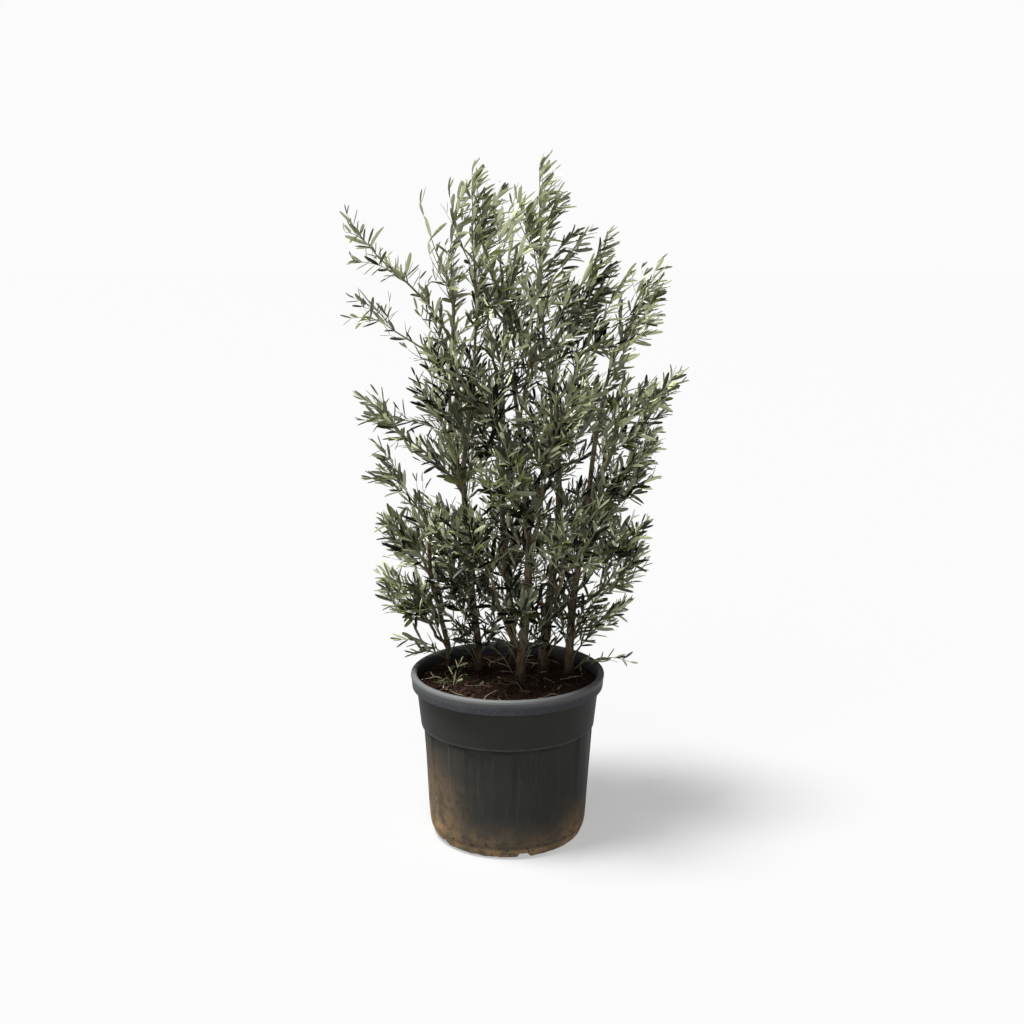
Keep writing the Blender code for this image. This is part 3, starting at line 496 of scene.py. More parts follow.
class StageSettings(PropertyGroup):
    """Camera and light."""

    distance: length_property("Camera distance", "From the pot's axis to the camera, level", 4.4)
    height: length_property("Camera height", "Height of the camera above the floor", 1.998)
    aside: length_property("Camera aside", "How far the camera stands to the right", 0.0144)
    pitch: FloatProperty(
        name="Camera pitch", description="How far the camera looks down",
        default=math.radians(12.07), subtype="ANGLE",
    )
    lens: FloatProperty(
        name="Lens", description="Focal length", default=50.52, subtype="DISTANCE_CAMERA"
    )
    sky: FloatProperty(name="Sky", description="Strength of the light from all sides", default=0.05)
    backdrop: FloatProperty(name="Backdrop", description="Brightness behind the floor", default=0.966)
    key: FloatProperty(name="Key light", description="Strength of the main light", default=8.9)
    fill: FloatProperty(name="Fill light", description="Strength of the second light", default=1.0)
    glow: FloatProperty(name="Floor glow", description="Light that the floor gives itself", default=0.44)
    floor: colour_property("Floor", "Colour of the floor", linear(117, 117, 117))


class Number:
    """A shader value. Its operators add Math nodes, also where it stands on the right."""

    def __init__(self, look, socket):
        self.look = look
        self.socket = socket

    def maths(self, operation, *terms, clamp=False):
        """The outcome of one Math node on these terms."""
        settings = {"operation": operation, "use_clamp": clamp}
        node = self.look.node("ShaderNodeMath", settings, dict(enumerate(terms)))
        return Number(self.look, node.outputs[0])

    def __add__(self, other):
        return self.maths("ADD", self, other)

    def __radd__(self, other):
        return self.maths("ADD", other, self)

    def __sub__(self, other):
        return self.maths("SUBTRACT", self, other)

    def __rsub__(self, other):
        return self.maths("SUBTRACT", other, self)

    def __mul__(self, other):
        return self.maths("MULTIPLY", self, other)

    def __rmul__(self, other):
        return self.maths("MULTIPLY", other, self)

    def clamped(self):
        """The value kept between 0 and 1."""
        return self.maths("ADD", self, 0.0, clamp=True)

    def step(self, low, high):
        """0 below low and 1 above high, with a smooth way between."""
        settings = {"interpolation_type": "SMOOTHSTEP"}
        node = self.look.node("ShaderNodeMapRange", settings, {0: self, 1: low, 2: high})
        return Number(self.look, node.outputs[0])


class Look:
    """A material and the few ways in which its nodes are made."""

    def __init__(self, name, roughness, shine):
        self.material = bpy.data.materials.new(name)
        self.material.use_nodes = True
        self.tree = self.material.node_tree
        self.shader = self.tree.nodes["Principled BSDF"]
        self.shader.inputs["Roughness"].default_value = roughness
        self.shader.inputs["Specular IOR Level"].default_value = shine

    def node(self, kind, settings, sockets):
        """A node of this kind: its settings are made first, then its sockets are set or linked."""
        node = self.tree.nodes.new(kind)
        for name, value in settings.items():
            setattr(node, name, value)
        for key, value in sockets.items():
            self.feed(node.inputs[key], value)
        return node

    def feed(self, socket, value):
        """Link a socket to a value or another socket, or set it."""
        if isinstance(value, Number):
            self.tree.links.new(value.socket, socket)
        elif isinstance(value, bpy.types.NodeSocket):
            self.tree.links.new(value, socket)
        else:
            socket.default_value = value

    def place(self):
        """The point on the object, in its own coordinates."""
        return self.node("ShaderNodeTexCoord", {}, {}).outputs["Object"]

    def scaled(self, scale):
        """The point on the object, drawn out or pressed together along each axis."""
        node = self.node("ShaderNodeMapping", {}, {"Vector": self.place(), "Scale": scale})
        return node.outputs["Vector"]

    def axes(self):
        """The point's X, Y and Z as values."""
        node = self.node("ShaderNodeSeparateXYZ", {}, {0: self.place()})
        return [Number(self, output) for output in node.outputs]

    def noise(self, scale, detail, roughness, vector=None):
        """Smooth noise from 0 to 1, so many waves to the metre."""
        sockets = {"Scale": scale, "Detail": detail, "Roughness": roughness}
        sockets["Vector"] = vector or self.place()
        return Number(self, self.node("ShaderNodeTexNoise", {}, sockets).outputs[0])

    def cells(self, scale):
        """Distance to the nearest of scattered points, from 0 in the middle of a cell."""
        sockets = {"Scale": scale, "Vector": self.place()}
        return Number(self, self.node("ShaderNodeTexVoronoi", {}, sockets).outputs["Distance"])

    def mixed(self, share, first, second):
        """A colour on the way from the first to the second."""
        settings = {"data_type": "RGBA"}
        first = first if isinstance(first, bpy.types.NodeSocket) else (*first, 1.0)
        second = second if isinstance(second, bpy.types.NodeSocket) else (*second, 1.0)
        node = self.node("ShaderNodeMix", settings, {0: share, 6: first, 7: second})
        return node.outputs[2]

    def colour(self, value):
        """Set or link the base colour."""
        if not isinstance(value, bpy.types.NodeSocket):
            value = (*value, 1.0)
            self.material.diffuse_color = value
        self.feed(self.shader.inputs["Base Color"], value)

    def bump(self, height, distance):
        """Raise the surface by a height from 0 to 1 times this distance."""
        node = self.node("ShaderNodeBump", {}, {"Height": height, "Distance": distance})
        self.feed(self.shader.inputs["Normal"], node.outputs[0])


def plain_look(name, colour, roughness, shine=0.15):
    """A plain material of one colour."""
    look = Look(name, roughness, shine)
    look.colour(colour)
    return look.material


def shaded(colour, factor, towards=(0.0, 0.0, 0.0), share=0.0):
    """A colour made lighter or darker, and mixed with another."""
    return tuple(c * factor * (1.0 - share) + other * share for c, other in zip(colour, towards))


def new_piece(name, points, faces, materials, indices=None, sharp=None):
    """Make a piece from arrays: points (n, 3), faces as groups of equal corner count.

    Faces are turned round if they enclose a negative volume, which is the sum over their fans of
    one sixth of the triple product of the corners. Edges between two vertices marked sharp stay
    sharp.
    """
    points = np.asarray(points, np.float64).reshape(-1, 3)
    groups = [np.asarray(group, np.int32) for group in faces if len(group)]
    volume = 0.0
    for group in groups:
        for i in range(1, group.shape[1] - 1):
            fan = points[group[:, [0, i, i + 1]]]
            volume += np.einsum("ij,ij->i", fan[:, 0], np.cross(fan[:, 1], fan[:, 2])).sum()
    if volume < 0.0:
        groups = [group[:, ::-1] for group in groups]
    corners = np.concatenate([group.ravel() for group in groups])
    sizes = np.concatenate([np.full(len(group), group.shape[1]) for group in groups])
    mesh = bpy.data.meshes.new(name)
    mesh.vertices.add(len(points))
    mesh.vertices.foreach_set("co", points.astype(np.float32).ravel())
    mesh.loops.add(len(corners))
    mesh.loops.foreach_set("vertex_index", corners)
    mesh.polygons.add(len(sizes))
    mesh.polygons.foreach_set("loop_start", np.cumsum(sizes) - sizes)
    mesh.update(calc_edges=True)
    mesh.polygons.foreach_set("use_smooth", np.ones(len(sizes), bool))
    for material in materials:
        mesh.materials.append(material)
    if indices is not None:
        mesh.polygons.foreach_set("material_index", np.asarray(indices, np.int32))
    if sharp is not None:
        ends = np.empty(len(mesh.edges) * 2, np.int32)
        mesh.edges.foreach_get("vertices", ends)
        mark = np.asarray(sharp, bool)[ends.reshape(-1, 2)].all(axis=1)
        mesh.attributes.new("sharp_edge", "BOOLEAN", "EDGE").data.foreach_set("value", mark)
    if mesh.validate():
        raise RuntimeError(f"{name}: its faces don't join up")
    piece = bpy.data.objects.new(name, mesh)
    bpy.context.scene.collection.objects.link(piece)
    return piece


def fitted(piece, slot, *nodes):
    """Let a piece ride with the plant and stand for its solids. The slot is not used."""
    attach(piece, BODY)
    if nodes:
        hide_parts(*nodes)


def unit(vectors):
    """Vectors along the last axis, each made one long."""
    return vectors / np.linalg.norm(vectors, axis=-1, keepdims=True)


def lathe_faces(rows, columns, first_pole, last_pole):
    """Faces of a closed turned surface: quads between rows, and a fan to the pole at each end."""
    grid = np.arange(rows * columns).reshape(rows, columns)
    after = np.roll(grid, -1, axis=1)
    quads = np.stack([grid[:-1], after[:-1], after[1:], grid[1:]], axis=-1).reshape(-1, 4)
    start = np.stack([after[0], grid[0], np.full(columns, first_pole)], axis=-1)
    end = np.stack([grid[-1], after[-1], np.full(columns, last_pole)], axis=-1)
    return quads, np.concatenate([start, end])


def full_turn(count):
    """So many angles, evenly round a circle."""
    return np.arange(count) * 2.0 * np.pi / count


def turned_piece(name, radius, height, turn, ends, look):
    """A closed turned piece from the radius and height at each station and angle.

    X is the radius times the sine of the angle, and Y is minus the radius times its cosine. A
    point on the axis closes each end, at the height given for it.
    """
    points = np.stack([radius * np.sin(turn), -radius * np.cos(turn), height], axis=-1)
    rows, columns = radius.shape
    poles = [[0.0, 0.0, end] for end in ends]
    faces = lathe_faces(rows, columns, rows * columns, rows * columns + 1)
    return new_piece(name, np.concatenate([points.reshape(-1, 3), poles]), faces, [look])


def tube_points(paths, radii, sides):
    """Rings of points round many paths at once, shaped (path, station, side, 3).

    A point is the station's own plus the radius times the cosine and sine of its angle along two
    directions square to the path. The first of them is square to a fixed direction as well.
    """
    tangents = unit(np.gradient(paths, axis=1))
    chords = unit(paths[:, -1] - paths[:, 0])
    upright = np.abs(chords[:, 2:3]) > 0.75
    fixed = np.where(upright, [[0.0, 1.0, 0.0]], [[0.0, 0.0, 1.0]])
    across = unit(np.cross(tangents, np.broadcast_to(fixed[:, None], tangents.shape)))
    above = np.cross(tangents, across)
    angles = full_turn(sides)
    ring = across[:, :, None] * np.cos(angles)[:, None] + above[:, :, None] * np.sin(angles)[:, None]
    return paths[:, :, None] + ring * np.broadcast_to(radii, ring.shape[:3])[..., None]


def joined_tubes(paths, radii, sides):
    """Points and faces of many closed tubes, and the number of faces of each."""
    count, stations = paths.shape[:2]
    rings = tube_points(paths, radii, sides).reshape(count, -1, 3)
    points = np.concatenate([rings, paths[:, :1], paths[:, -1:]], axis=1)
    each = stations * sides
    quads, fans = lathe_faces(stations, sides, each, each + 1)
    offset = np.arange(count)[:, None, None] * (each + 2)
    return points.reshape(-1, 3), (quads + offset).reshape(-1, 4), (fans + offset).reshape(-1, 3)


def bundled(groups):
    """Points, quads and fans of several groups of tubes, joined."""
    bases = np.cumsum([0] + [len(points) for points, _, _ in groups])
    points = np.concatenate([points for points, _, _ in groups])
    quads = np.concatenate([quads + base for (_, quads, _), base in zip(groups, bases)])
    fans = np.concatenate([fans + base for (_, _, fans), base in zip(groups, bases)])
    return points, quads, fans


def waves(places, count, longest, shortest, seed):
    """Seeded unevenness at places in two or three dimensions, from about -1 to 1.

    It is a sum of cosines of random direction, phase and wavelength, the longest the strongest.
    """
    chance = np.random.default_rng(seed)
    lengths = longest * (shortest / longest) ** chance.random(count)
    ways = unit(chance.normal(size=(count, places.shape[-1])))
    phases = chance.random(count) * 2.0 * np.pi
    strength = lengths / lengths.max()
    angle = places @ (ways * (2.0 * np.pi / lengths)[:, None]).T + phases
    return (np.cos(angle) * strength).sum(axis=-1) / np.sqrt((strength ** 2).sum() * 2.0)


def bent_path(start, end, bend, count, sway, seed):
    """Points from start to end: a bow of the given bend, with a little seeded sway along it."""
    chance = random.Random(seed)
    phases = [chance.uniform(0.0, 2.0 * math.pi) for _ in range(2)]
    points = []
    for i in range(count):
        share = i / (count - 1)
        bow = math.sin(math.pi * share)
        point = start.lerp(end, share) + Vector((bend[0], bend[1], 0.0)) * bow
        point.x += sway * bow * math.sin(2.5 * math.pi * share + phases[0])
        point.y += sway * bow * math.sin(2.5 * math.pi * share + phases[1])
        points.append(point)
    return points


def along(points, share):
    """The point at this share of a path's length, and the direction there."""
    lengths = [(b - a).length for a, b in zip(points, points[1:])]
    left = share * sum(lengths)
    for a, b, length in zip(points, points[1:], lengths):
        if left <= length or b is points[-1]:
            return a.lerp(b, min(left / length, 1.0)), (b - a).normalized()
        left -= length


def stem_path(name):
    """Points and radii of a stem: upright and flared at the soil, then tapering along its bend."""
    (x, y), top, bend, foot_radius, top_radius = STEMS[name]
    foot = Vector((x, y, STEM_FOOT))
    points = [foot + Vector((0.0, 0.0, height)) for height, _ in FLARE]
    radii = [foot_radius * swelling for _, swelling in FLARE]
    path = bent_path(points[-1], Vector(top), bend, STEM_POINTS, STEM_SWAY, name)
    for i, point in enumerate(path[1:], 1):
        share = i / (STEM_POINTS - 1)
        points.append(point)
        radii.append(foot_radius + (top_radius - foot_radius) * share ** STEM_TAPER)
    return points, radii


def bough_path(name, limbs):
    """Points and radii of a bough, from the axis of the limb that bears it to its own tip."""
    parent, share, tip, bend, base_radius, tip_radius = BOUGHS[name]
    start, _ = along(limbs[parent][0], share)
    points = bent_path(start, Vector(tip), bend, BOUGH_POINTS, BOUGH_SWAY, name)
    steps = BOUGH_POINTS - 1
    radii = [base_radius + (tip_radius - base_radius) * i / steps for i in range(BOUGH_POINTS)]
    return points, radii


def axis_path(name, limbs):
    """Points of a mass's axis. At a limb's end it starts just clear of the end and in line with it."""
    parent, share, tip, _ = MASSES[name]
    start, heading = along(limbs[parent][0], share)
    end = Vector(tip)
    if share >= 1.0:
        start = start + heading * GAP
        second = start + heading * AXIS_RUN_ON
    else:
        outward = (end - start).normalized()
        second = start + (outward + heading * AXIS_LEAN).normalized() * AXIS_RUN_OUT
    end = end - (end - second).normalized() * (SPRAY_LENGTH - TIP_SPRAY_SUNK)
    control = second + (second - start).normalized() * (end - second).length * AXIS_HOLD
    points = [start]
    for i in range(AXIS_POINTS):
        t = i / (AXIS_POINTS - 1)
        points.append(second * (1 - t) ** 2 + control * 2 * t * (1 - t) + end * t ** 2)
    return points


def frame_along(direction):
    """A rotation whose Z is this direction."""
    return direction.to_track_quat("Z", "Y").to_matrix()


def side_direction(direction, azimuth, rise):
    """A direction that leaves another at this azimuth round it, leaning towards it by the rise."""
    turn, lift = math.radians(azimuth), math.radians(rise)
    level = math.cos(lift)
    local = Vector((math.cos(turn) * level, math.sin(turn) * level, math.sin(lift)))
    turned = frame_along(direction) @ local
    return (turned + Vector((0.0, 0.0, TO_LIGHT))).normalized()


def spray_corners(base, direction, length, roll):
    """The four outline points of the room that a spray takes, rolled about its shoot."""
    across = Matrix.Rotation(roll, 3, direction) @ frame_along(direction).col[0]
    width = SPRAY_WIDTH * length / SPRAY_LENGTH
    middle = base + direction * length * SPRAY_WIDEST
    side = across * width / 2
    return base, middle + side, base + direction * length, middle - side


def spray_samples(spray):
    """Points over a spray's room that the rules of space and clearance test."""
    root, left, tip, right = spray_corners(*spray)
    points = []
    for step in range(1, 9):
        share = step / 8
        points.append(root.lerp(tip, share))
    for a, b in ((root, left), (left, tip), (root, right), (right, tip)):
        for share in (0.35, 0.7, 1.0):
            points.append(a.lerp(b, share))
    return np.array(points)


def distance_to_path(samples, path):
    """The distance from each sample to each segment of a path."""
    starts = np.array(path[:-1])
    spans = np.array(path[1:]) - starts
    offset = samples[:, None, :] - starts[None, :, :]
    share = (offset * spans).sum(axis=2) / (spans ** 2).sum(axis=1)
    share = np.clip(share, 0.0, 1.0)
    nearest = starts[None, :, :] + spans[None, :, :] * share[:, :, None]
    return np.linalg.norm(samples[:, None, :] - nearest, axis=2)


def in_own_space(samples, name, axes):
    """Whether all the samples lie nearer to this mass's axis than to any other's, and within reach.

    The reach is the distance of the mass's tip from the middle of the bush, and the tip's height.
    """
    tip = MASSES[name][2]
    reach = max(math.hypot(tip[0], tip[1]) + REACH_PAST_TIP, LEAST_REACH)
    if np.hypot(samples[:, 0], samples[:, 1]).max() > reach:
        return False
    if samples[:, 2].max() > tip[2] + REACH_PAST_TIP:
        return False
    own = distance_to_path(samples, axes[name]).min(axis=1)
    for other, path in axes.items():
        if other == name:
            continue
        if (distance_to_path(samples, path).min(axis=1) < own + SPACE_MARGIN).any():
            return False
    return samples[:, 2].min() > LOWEST_SPRAY


def close_to(samples, limb, clearance):
    """Which samples lie in a limb, or nearer to it than the clearance."""
    points, radii = limb
    thick = np.maximum(np.array(radii[:-1]), np.array(radii[1:]))
    return (distance_to_path(samples, points) < thick[None, :] + clearance).any(axis=1)


def clear_of_limbs(samples, limbs):
    """Whether all the samples keep clear of every limb."""
    return not any(close_to(samples, limb, LIMB_CLEARANCE).any() for limb in limbs.values())


def spray_hull(spray):
    """A spray's room past its root, thickened by the clearance, as faces to test others against."""
    root, left, tip, right = spray_corners(*spray)
    root = root.lerp(tip, HULL_START)
    above = (tip - root).normalized().cross((left - right).normalized())
    above *= SPRAY_THICKNESS / 2 + SPRAY_CLEARANCE
    middle = root.lerp(tip, HULL_THICKEST)
    points = [root, left, tip, right, middle + above, middle - above]
    faces = [(i, (i + 1) % 4, peak) for peak in (4, 5) for i in range(4)]
    return BVHTree.FromPolygons(points, faces)


def twig_hull(start, end):
    """A twig past its root as two crossed faces."""
    start = start.lerp(end, HULL_START)
    frame_here = frame_along(end - start)
    across, above = frame_here.col[0] * SPRAY_CLEARANCE, frame_here.col[1] * SPRAY_CLEARANCE
    points = [start + across, start - across, start + above, start - above, end]
    return BVHTree.FromPolygons(points, [(0, 1, 4), (2, 3, 4)])


def clear_of(hull, taken):
    """Whether a hull touches none of those taken already."""
    return not any(hull.overlap(other) for other in taken)


def grow(name, axes, limbs):
    """The twigs and sprays of one mass, as (start, end, size) and (base, direction, length, roll)."""
    chance = random.Random(f"{SEED} {name}")
    axis = axes[name]
    bushy = MASSES[name][3]
    twigs, sprays = [], []
    taken = [twig_hull(a, b) for a, b in zip(axis[1:], axis[2:])]

    def place_spray(point, heading, azimuth, rise, length, sunk):
        """Add the first spray of a few tries that keeps to the rules."""
        if len(sprays) >= MOST_SPRAYS:
            return
        for attempt in range(TRIES):
            spread = SPRAY_SPREAD + SPRAY_SPREAD_PER_TRY * attempt
            turn = azimuth + chance.uniform(-spread, spread)
            lift = rise + chance.uniform(-spread, spread) * 0.5
            direction = side_direction(heading, turn, min(lift, 90.0))
            size = length * (1.0 - SPRAY_SHRINK_PER_TRY * attempt)
            spray = (point - direction * sunk, direction, size, chance.uniform(0.0, math.pi))
            outer = spray_samples(spray)[2:]
            if not in_own_space(outer, name, axes) or not clear_of_limbs(outer, limbs):
                continue
            hull = spray_hull(spray)
            if not clear_of(hull, taken):
                continue
            sprays.append(spray)
            taken.append(hull)
            return

    end, heading = along(axis, 1.0)
    place_spray(end, heading, 0.0, 90.0, SPRAY_LENGTH, TIP_SPRAY_SUNK)
    for node, share in enumerate(TWIG_NODES):
        point, heading = along(axis, share)
        reach = TWIG_LENGTH * bushy * (1.0 - TWIG_SHORTENING * share)
        for side in (0, 1):
            azimuth = TWIG_FIRST_TURN + 90.0 * node + 180.0 * side
            azimuth += chance.uniform(-TWIG_TURN_SPREAD, TWIG_TURN_SPREAD)
            for attempt in range(TRIES):
                spread = TWIG_SPREAD_PER_TRY * attempt
                turn = azimuth + chance.uniform(-spread, spread)
                lift = TWIG_RISE + chance.uniform(-TWIG_RISE_SPREAD, TWIG_RISE_SPREAD)
                length = reach * (1.0 - TWIG_SHRINK_PER_TRY * attempt)
                direction = side_direction(heading, turn, lift)
                tip = point + direction * length
                samples = np.array([point.lerp(tip, s / 6) for s in range(2, 7)])
                if not in_own_space(samples, name, axes) or not clear_of_limbs(samples, limbs):
                    continue
                hull = twig_hull(point, tip)
                if not clear_of(hull, taken):
                    continue
                twigs.append((point, tip, 1.0 - TWIG_THINNING * share))
                taken.append(hull)
                place_spray(tip, direction, 0.0, 90.0, SPRAY_LENGTH * bushy, TIP_SPRAY_SUNK)
                for pair in (0, 1):
                    knot = point + direction * length * 0.5
                    turn = 90.0 * node + 180.0 * pair
                    turn += chance.uniform(-SIDE_SPRAY_SPREAD, SIDE_SPRAY_SPREAD)
                    size = SPRAY_LENGTH * SIDE_SPRAY_SIZE * bushy
                    place_spray(knot, direction, turn, SPRAY_RISE, size, SPRAY_SUNK)
                break
    for share in AXIS_SPRAY_PLACES:
        point, heading = along(axis, share)
        turn = chance.uniform(0.0, 180.0)
        for side in (0, 1):
            size = SPRAY_LENGTH * AXIS_SPRAY_SIZE * bushy
            place_spray(point, heading, turn + 180.0 * side, SPRAY_RISE, size, SPRAY_SUNK)
    return twigs, sprays


@functools.lru_cache(maxsize=1)
def whole_growth():
    """The limbs, the axes of the masses, and what grows in each mass."""
    limbs = {name: stem_path(name) for name in STEMS}
    for name in BOUGHS:
        limbs[name] = bough_path(name, limbs)
    axes = {name: axis_path(name, limbs) for name in MASSES}
    return limbs, axes, {name: grow(name, axes, limbs) for name in MASSES}


def smooth_path(points, count):
    """Evenly many stations on a smooth line through the points, and each one's place among them.

    Between two points the line is the cubic through them whose slope at each is half the step
    from the point before to the point after.
    """
    points = np.array([tuple(point) for point in points])
    padded = np.concatenate([2 * points[:1] - points[1:2], points, 2 * points[-1:] - points[-2:-1]])
    place = np.linspace(0.0, len(points) - 1.0, count)
    index = np.minimum(place.astype(int), len(points) - 2)
    t = (place - index)[:, None]
    a, b, c, d = (padded[index + i] for i in range(4))
    line = 2 * b + (c - a) * t + (2 * a - 5 * b + 4 * c - d) * t ** 2
    return (line + (3 * b - a - 3 * c + d) * t ** 3) / 2, place


def shoot_curve(bases, directions, lengths, lift, chance):
    """Points and headings of many shoots at once, each turning a little towards the light.

    The heading at a share of the way is the first direction, plus the lift upwards times the
    share, plus a small seeded sway, made one long. The points are the running sum of headings.
    """
    share = np.linspace(0.0, 1.0, SHOOT_POINTS)[None, :, None]
    sway = chance.normal(size=(len(bases), 1, 3)) * SHOOT_SWAY
    rise = np.array([0.0, 0.0, 1.0]) * lift
    headings = unit(directions[:, None] + share * rise + share * (1.0 - share) * 4.0 * sway)
    steps = (headings[:, 1:] + headings[:, :-1]) * 0.5 * (lengths / (SHOOT_POINTS - 1))[:, None, None]
    start = np.zeros((len(bases), 1, 3))
    return bases[:, None] + np.concatenate([start, np.cumsum(steps, axis=1)], axis=1), headings


def leaf_faces():
    """Faces of one leaf, upper side first: triangles at both ends and quads between stations.

    Point 0 is the base and point 1 the tip. Each station has its left and right edge and its
    midrib above and below.
    """
    quads, triangles = [], []
    for below in (0, 1):
        first, last = 2, 2 + 4 * (len(LEAF_STATIONS) - 1)
        ends = []
        for side in (0, 1):
            ends.append((0, first + side, first + 2 + below)[:: 1 if side == below else -1])
            ends.append((1, last + side, last + 2 + below)[:: -1 if side == below else 1])
            for station in range(len(LEAF_STATIONS) - 1):
                here, there = 2 + 4 * station, 6 + 4 * station
                face = (here + side, there + side, there + 2 + below, here + 2 + below)
                quads.append(face[:: 1 if side == below else -1])
        triangles += ends
    return np.array(triangles), np.array(quads)


def leaf_blades(leaves):
    """Points of many leaves, shaped (leaf, point, 3).

    A point lies along the leaf by its share of the length, across by its share of the half
    width, and up along the leaf's normal by the bend times the share squared. The edges stand
    above the midrib by the fold times the half width, so a leaf is a shallow trough.
    """
    base, way, normal, length, width, bend = leaves
    across = np.cross(normal, way)
    share = [0.0, 1.0]
    side = [0.0, 0.0]
    lift = [0.0, 0.0]
    level = [0.0, 0.0]
    for place, wide in LEAF_STATIONS:
        share += [place] * 4
        side += [wide, -wide, 0.0, 0.0]
        lift += [wide, wide, 0.0, 0.0]
        level += [0.0, 0.0, 0.5, -0.5]
    share, side, lift, level = (np.array(values)[None, :, None] for values in (share, side, lift, level))
    half = width[:, None, None] / 2
    length = length[:, None, None]
    height = bend[:, None, None] * length * share ** 2 + lift * half * LEAF_FOLD + level * LEAF_THICKNESS
    points = base[:, None] + way[:, None] * length * share
    return points + across[:, None] * half * side + normal[:, None] * height


def leaves_on(paths, headings, starts, size, settings, chance, airy=1.0):
    """Leaves in crossed pairs along many shoots, as arrays, and each leaf's shoot.

    A pair stands every spacing, times how airy the mass is, from the start's share of the way to
    the tip, a quarter turn round from the last pair. A leaf leaves its shoot by the rise, and its
    upper side faces the shoot's tip. Leaves near the tip are smaller and stand closer to the shoot.
    """
    steps = np.linalg.norm(np.diff(paths, axis=1), axis=2)
    reach = steps.sum(axis=1)
    spacing = settings.leaf_spacing * airy
    pairs = np.maximum(2, np.round(reach * (1.0 - starts) / spacing).astype(int))
    shoot = np.repeat(np.arange(len(paths)), pairs)
    order = np.arange(len(shoot)) - np.repeat(np.cumsum(pairs) - pairs, pairs)
    share = starts[shoot] + (1.0 - starts[shoot]) * order / (pairs[shoot] - 1)
    place = share * (paths.shape[1] - 1)
    index = np.minimum(place.astype(int), paths.shape[1] - 2)
    rest = (place - index)[:, None]
    point = paths[shoot, index] * (1.0 - rest) + paths[shoot, index + 1] * rest
    heading = unit(headings[shoot, index] * (1.0 - rest) + headings[shoot, index + 1] * rest)
    fixed = np.where(np.abs(heading[:, 2:3]) > 0.8, [[1.0, 0.0, 0.0]], [[0.0, 0.0, 1.0]])
    across = unit(np.cross(heading, fixed))
    above = np.cross(heading, across)
    first = chance.uniform(0.0, np.pi, len(paths))[shoot]
    both = []
    for side in (0.0, np.pi):
        count = len(shoot)
        turn = first + order * np.pi / 2 + side + chance.normal(size=count) * LEAF_TURN_SPREAD
        near_tip = np.clip((share - NEAR_TIP_FROM) / NEAR_TIP_OVER, 0.0, 1.0)
        rise = settings.leaf_rise * (1.0 + chance.normal(size=count) * LEAF_RISE_SPREAD)
        rise += (TIP_PAIR_RISE - settings.leaf_rise) * near_tip * TIP_PAIR_SHARE
        radial = across * np.cos(turn)[:, None] + above * np.sin(turn)[:, None]
        way = heading * np.sin(rise)[:, None] + radial * np.cos(rise)[:, None]
        high = np.clip((point[:, 2:] - WINDY_FROM) / WINDY_OVER, 0.0, 1.0)
        outward = point * [1.0, 1.0, 0.0] * LEAF_OUTWARD
        way = unit(way + [0.0, 0.0, LEAF_TO_LIGHT] + outward + high * [LEAF_WIND, 0.0, 0.0])
        facing = heading - way * (heading * way).sum(axis=1, keepdims=True)
        roll = unit(facing) + np.cross(way, unit(facing)) * chance.normal(size=(count, 1)) * LEAF_ROLL
        normal = unit(roll - way * (roll * way).sum(axis=1, keepdims=True))
        length = settings.leaf_length * size[shoot] * (1.0 - TIP_LEAF_SHORTER * near_tip)
        length *= 1.0 + chance.normal(size=count) * LEAF_LENGTH_SPREAD
        width = settings.leaf_width * length / settings.leaf_length
        width *= 1.0 + chance.normal(size=count) * LEAF_WIDTH_SPREAD
        bend = chance.normal(size=count) * LEAF_BEND
        both.append((point, way, normal, length, width, bend, shoot))
    return [np.concatenate(values) for values in zip(*both)]


class OLIVE_OT_pot(Operator):
    """Mould the pot with its rolled rim, flutes, foot notches and dusty plastic"""

    bl_idname = "olive.pot"
    bl_label = "Pot"

    def execute(self, context):
        settings = context.scene.olive_pot
        profile = pot_profile()
        turn = full_turn(POT_COLUMNS)
        radius = profile[:, :1] - flute_hollow(profile, turn, settings.flute_depth)
        height = profile[:, 1:] + np.zeros_like(turn)
        radius = radius + foot_crust(profile, turn)
        height = np.maximum(height, notch_roof(radius, turn) * (profile[:, 1:] < NOTCH_HEIGHT))
        look = pot_look(settings)
        piece = turned_piece("pot_moulded", radius, height, turn, (FLOOR_THICKNESS, 0.0), look)
        fitted(piece, "pot_plastic", "pot")
        return {"FINISHED"}


def rounded(corners, radius):
    """A section with each inner corner eased.

    A corner becomes the curve from a point before it to a point after it that leans to it, the
    square of one minus t times the first, plus twice t times one minus t times the corner, plus
    t squared times the last.
    """
    corners = np.array(corners)
    points = [corners[:1]]
    t = np.linspace(0.0, 1.0, CORNER_STEPS)[:, None]
    for before, corner, after in zip(corners, corners[1:], corners[2:]):
        back, on = before - corner, after - corner
        cut = min(radius, np.linalg.norm(back) * 0.45, np.linalg.norm(on) * 0.45)
        first, last = corner + unit(back) * cut, corner + unit(on) * cut
        points.append(first * (1 - t) ** 2 + corner * 2 * t * (1 - t) + last * t ** 2)
    points.append(corners[-1:])
    return np.concatenate(points)


def divided(section, longest):
    """A section with its long steps divided evenly."""
    pieces = []
    for a, b in zip(section, section[1:]):
        count = max(1, math.ceil(np.linalg.norm(b - a) / longest))
        pieces.append(a + (b - a) * np.arange(count)[:, None] / count)
    return np.concatenate(pieces + [section[-1:]])


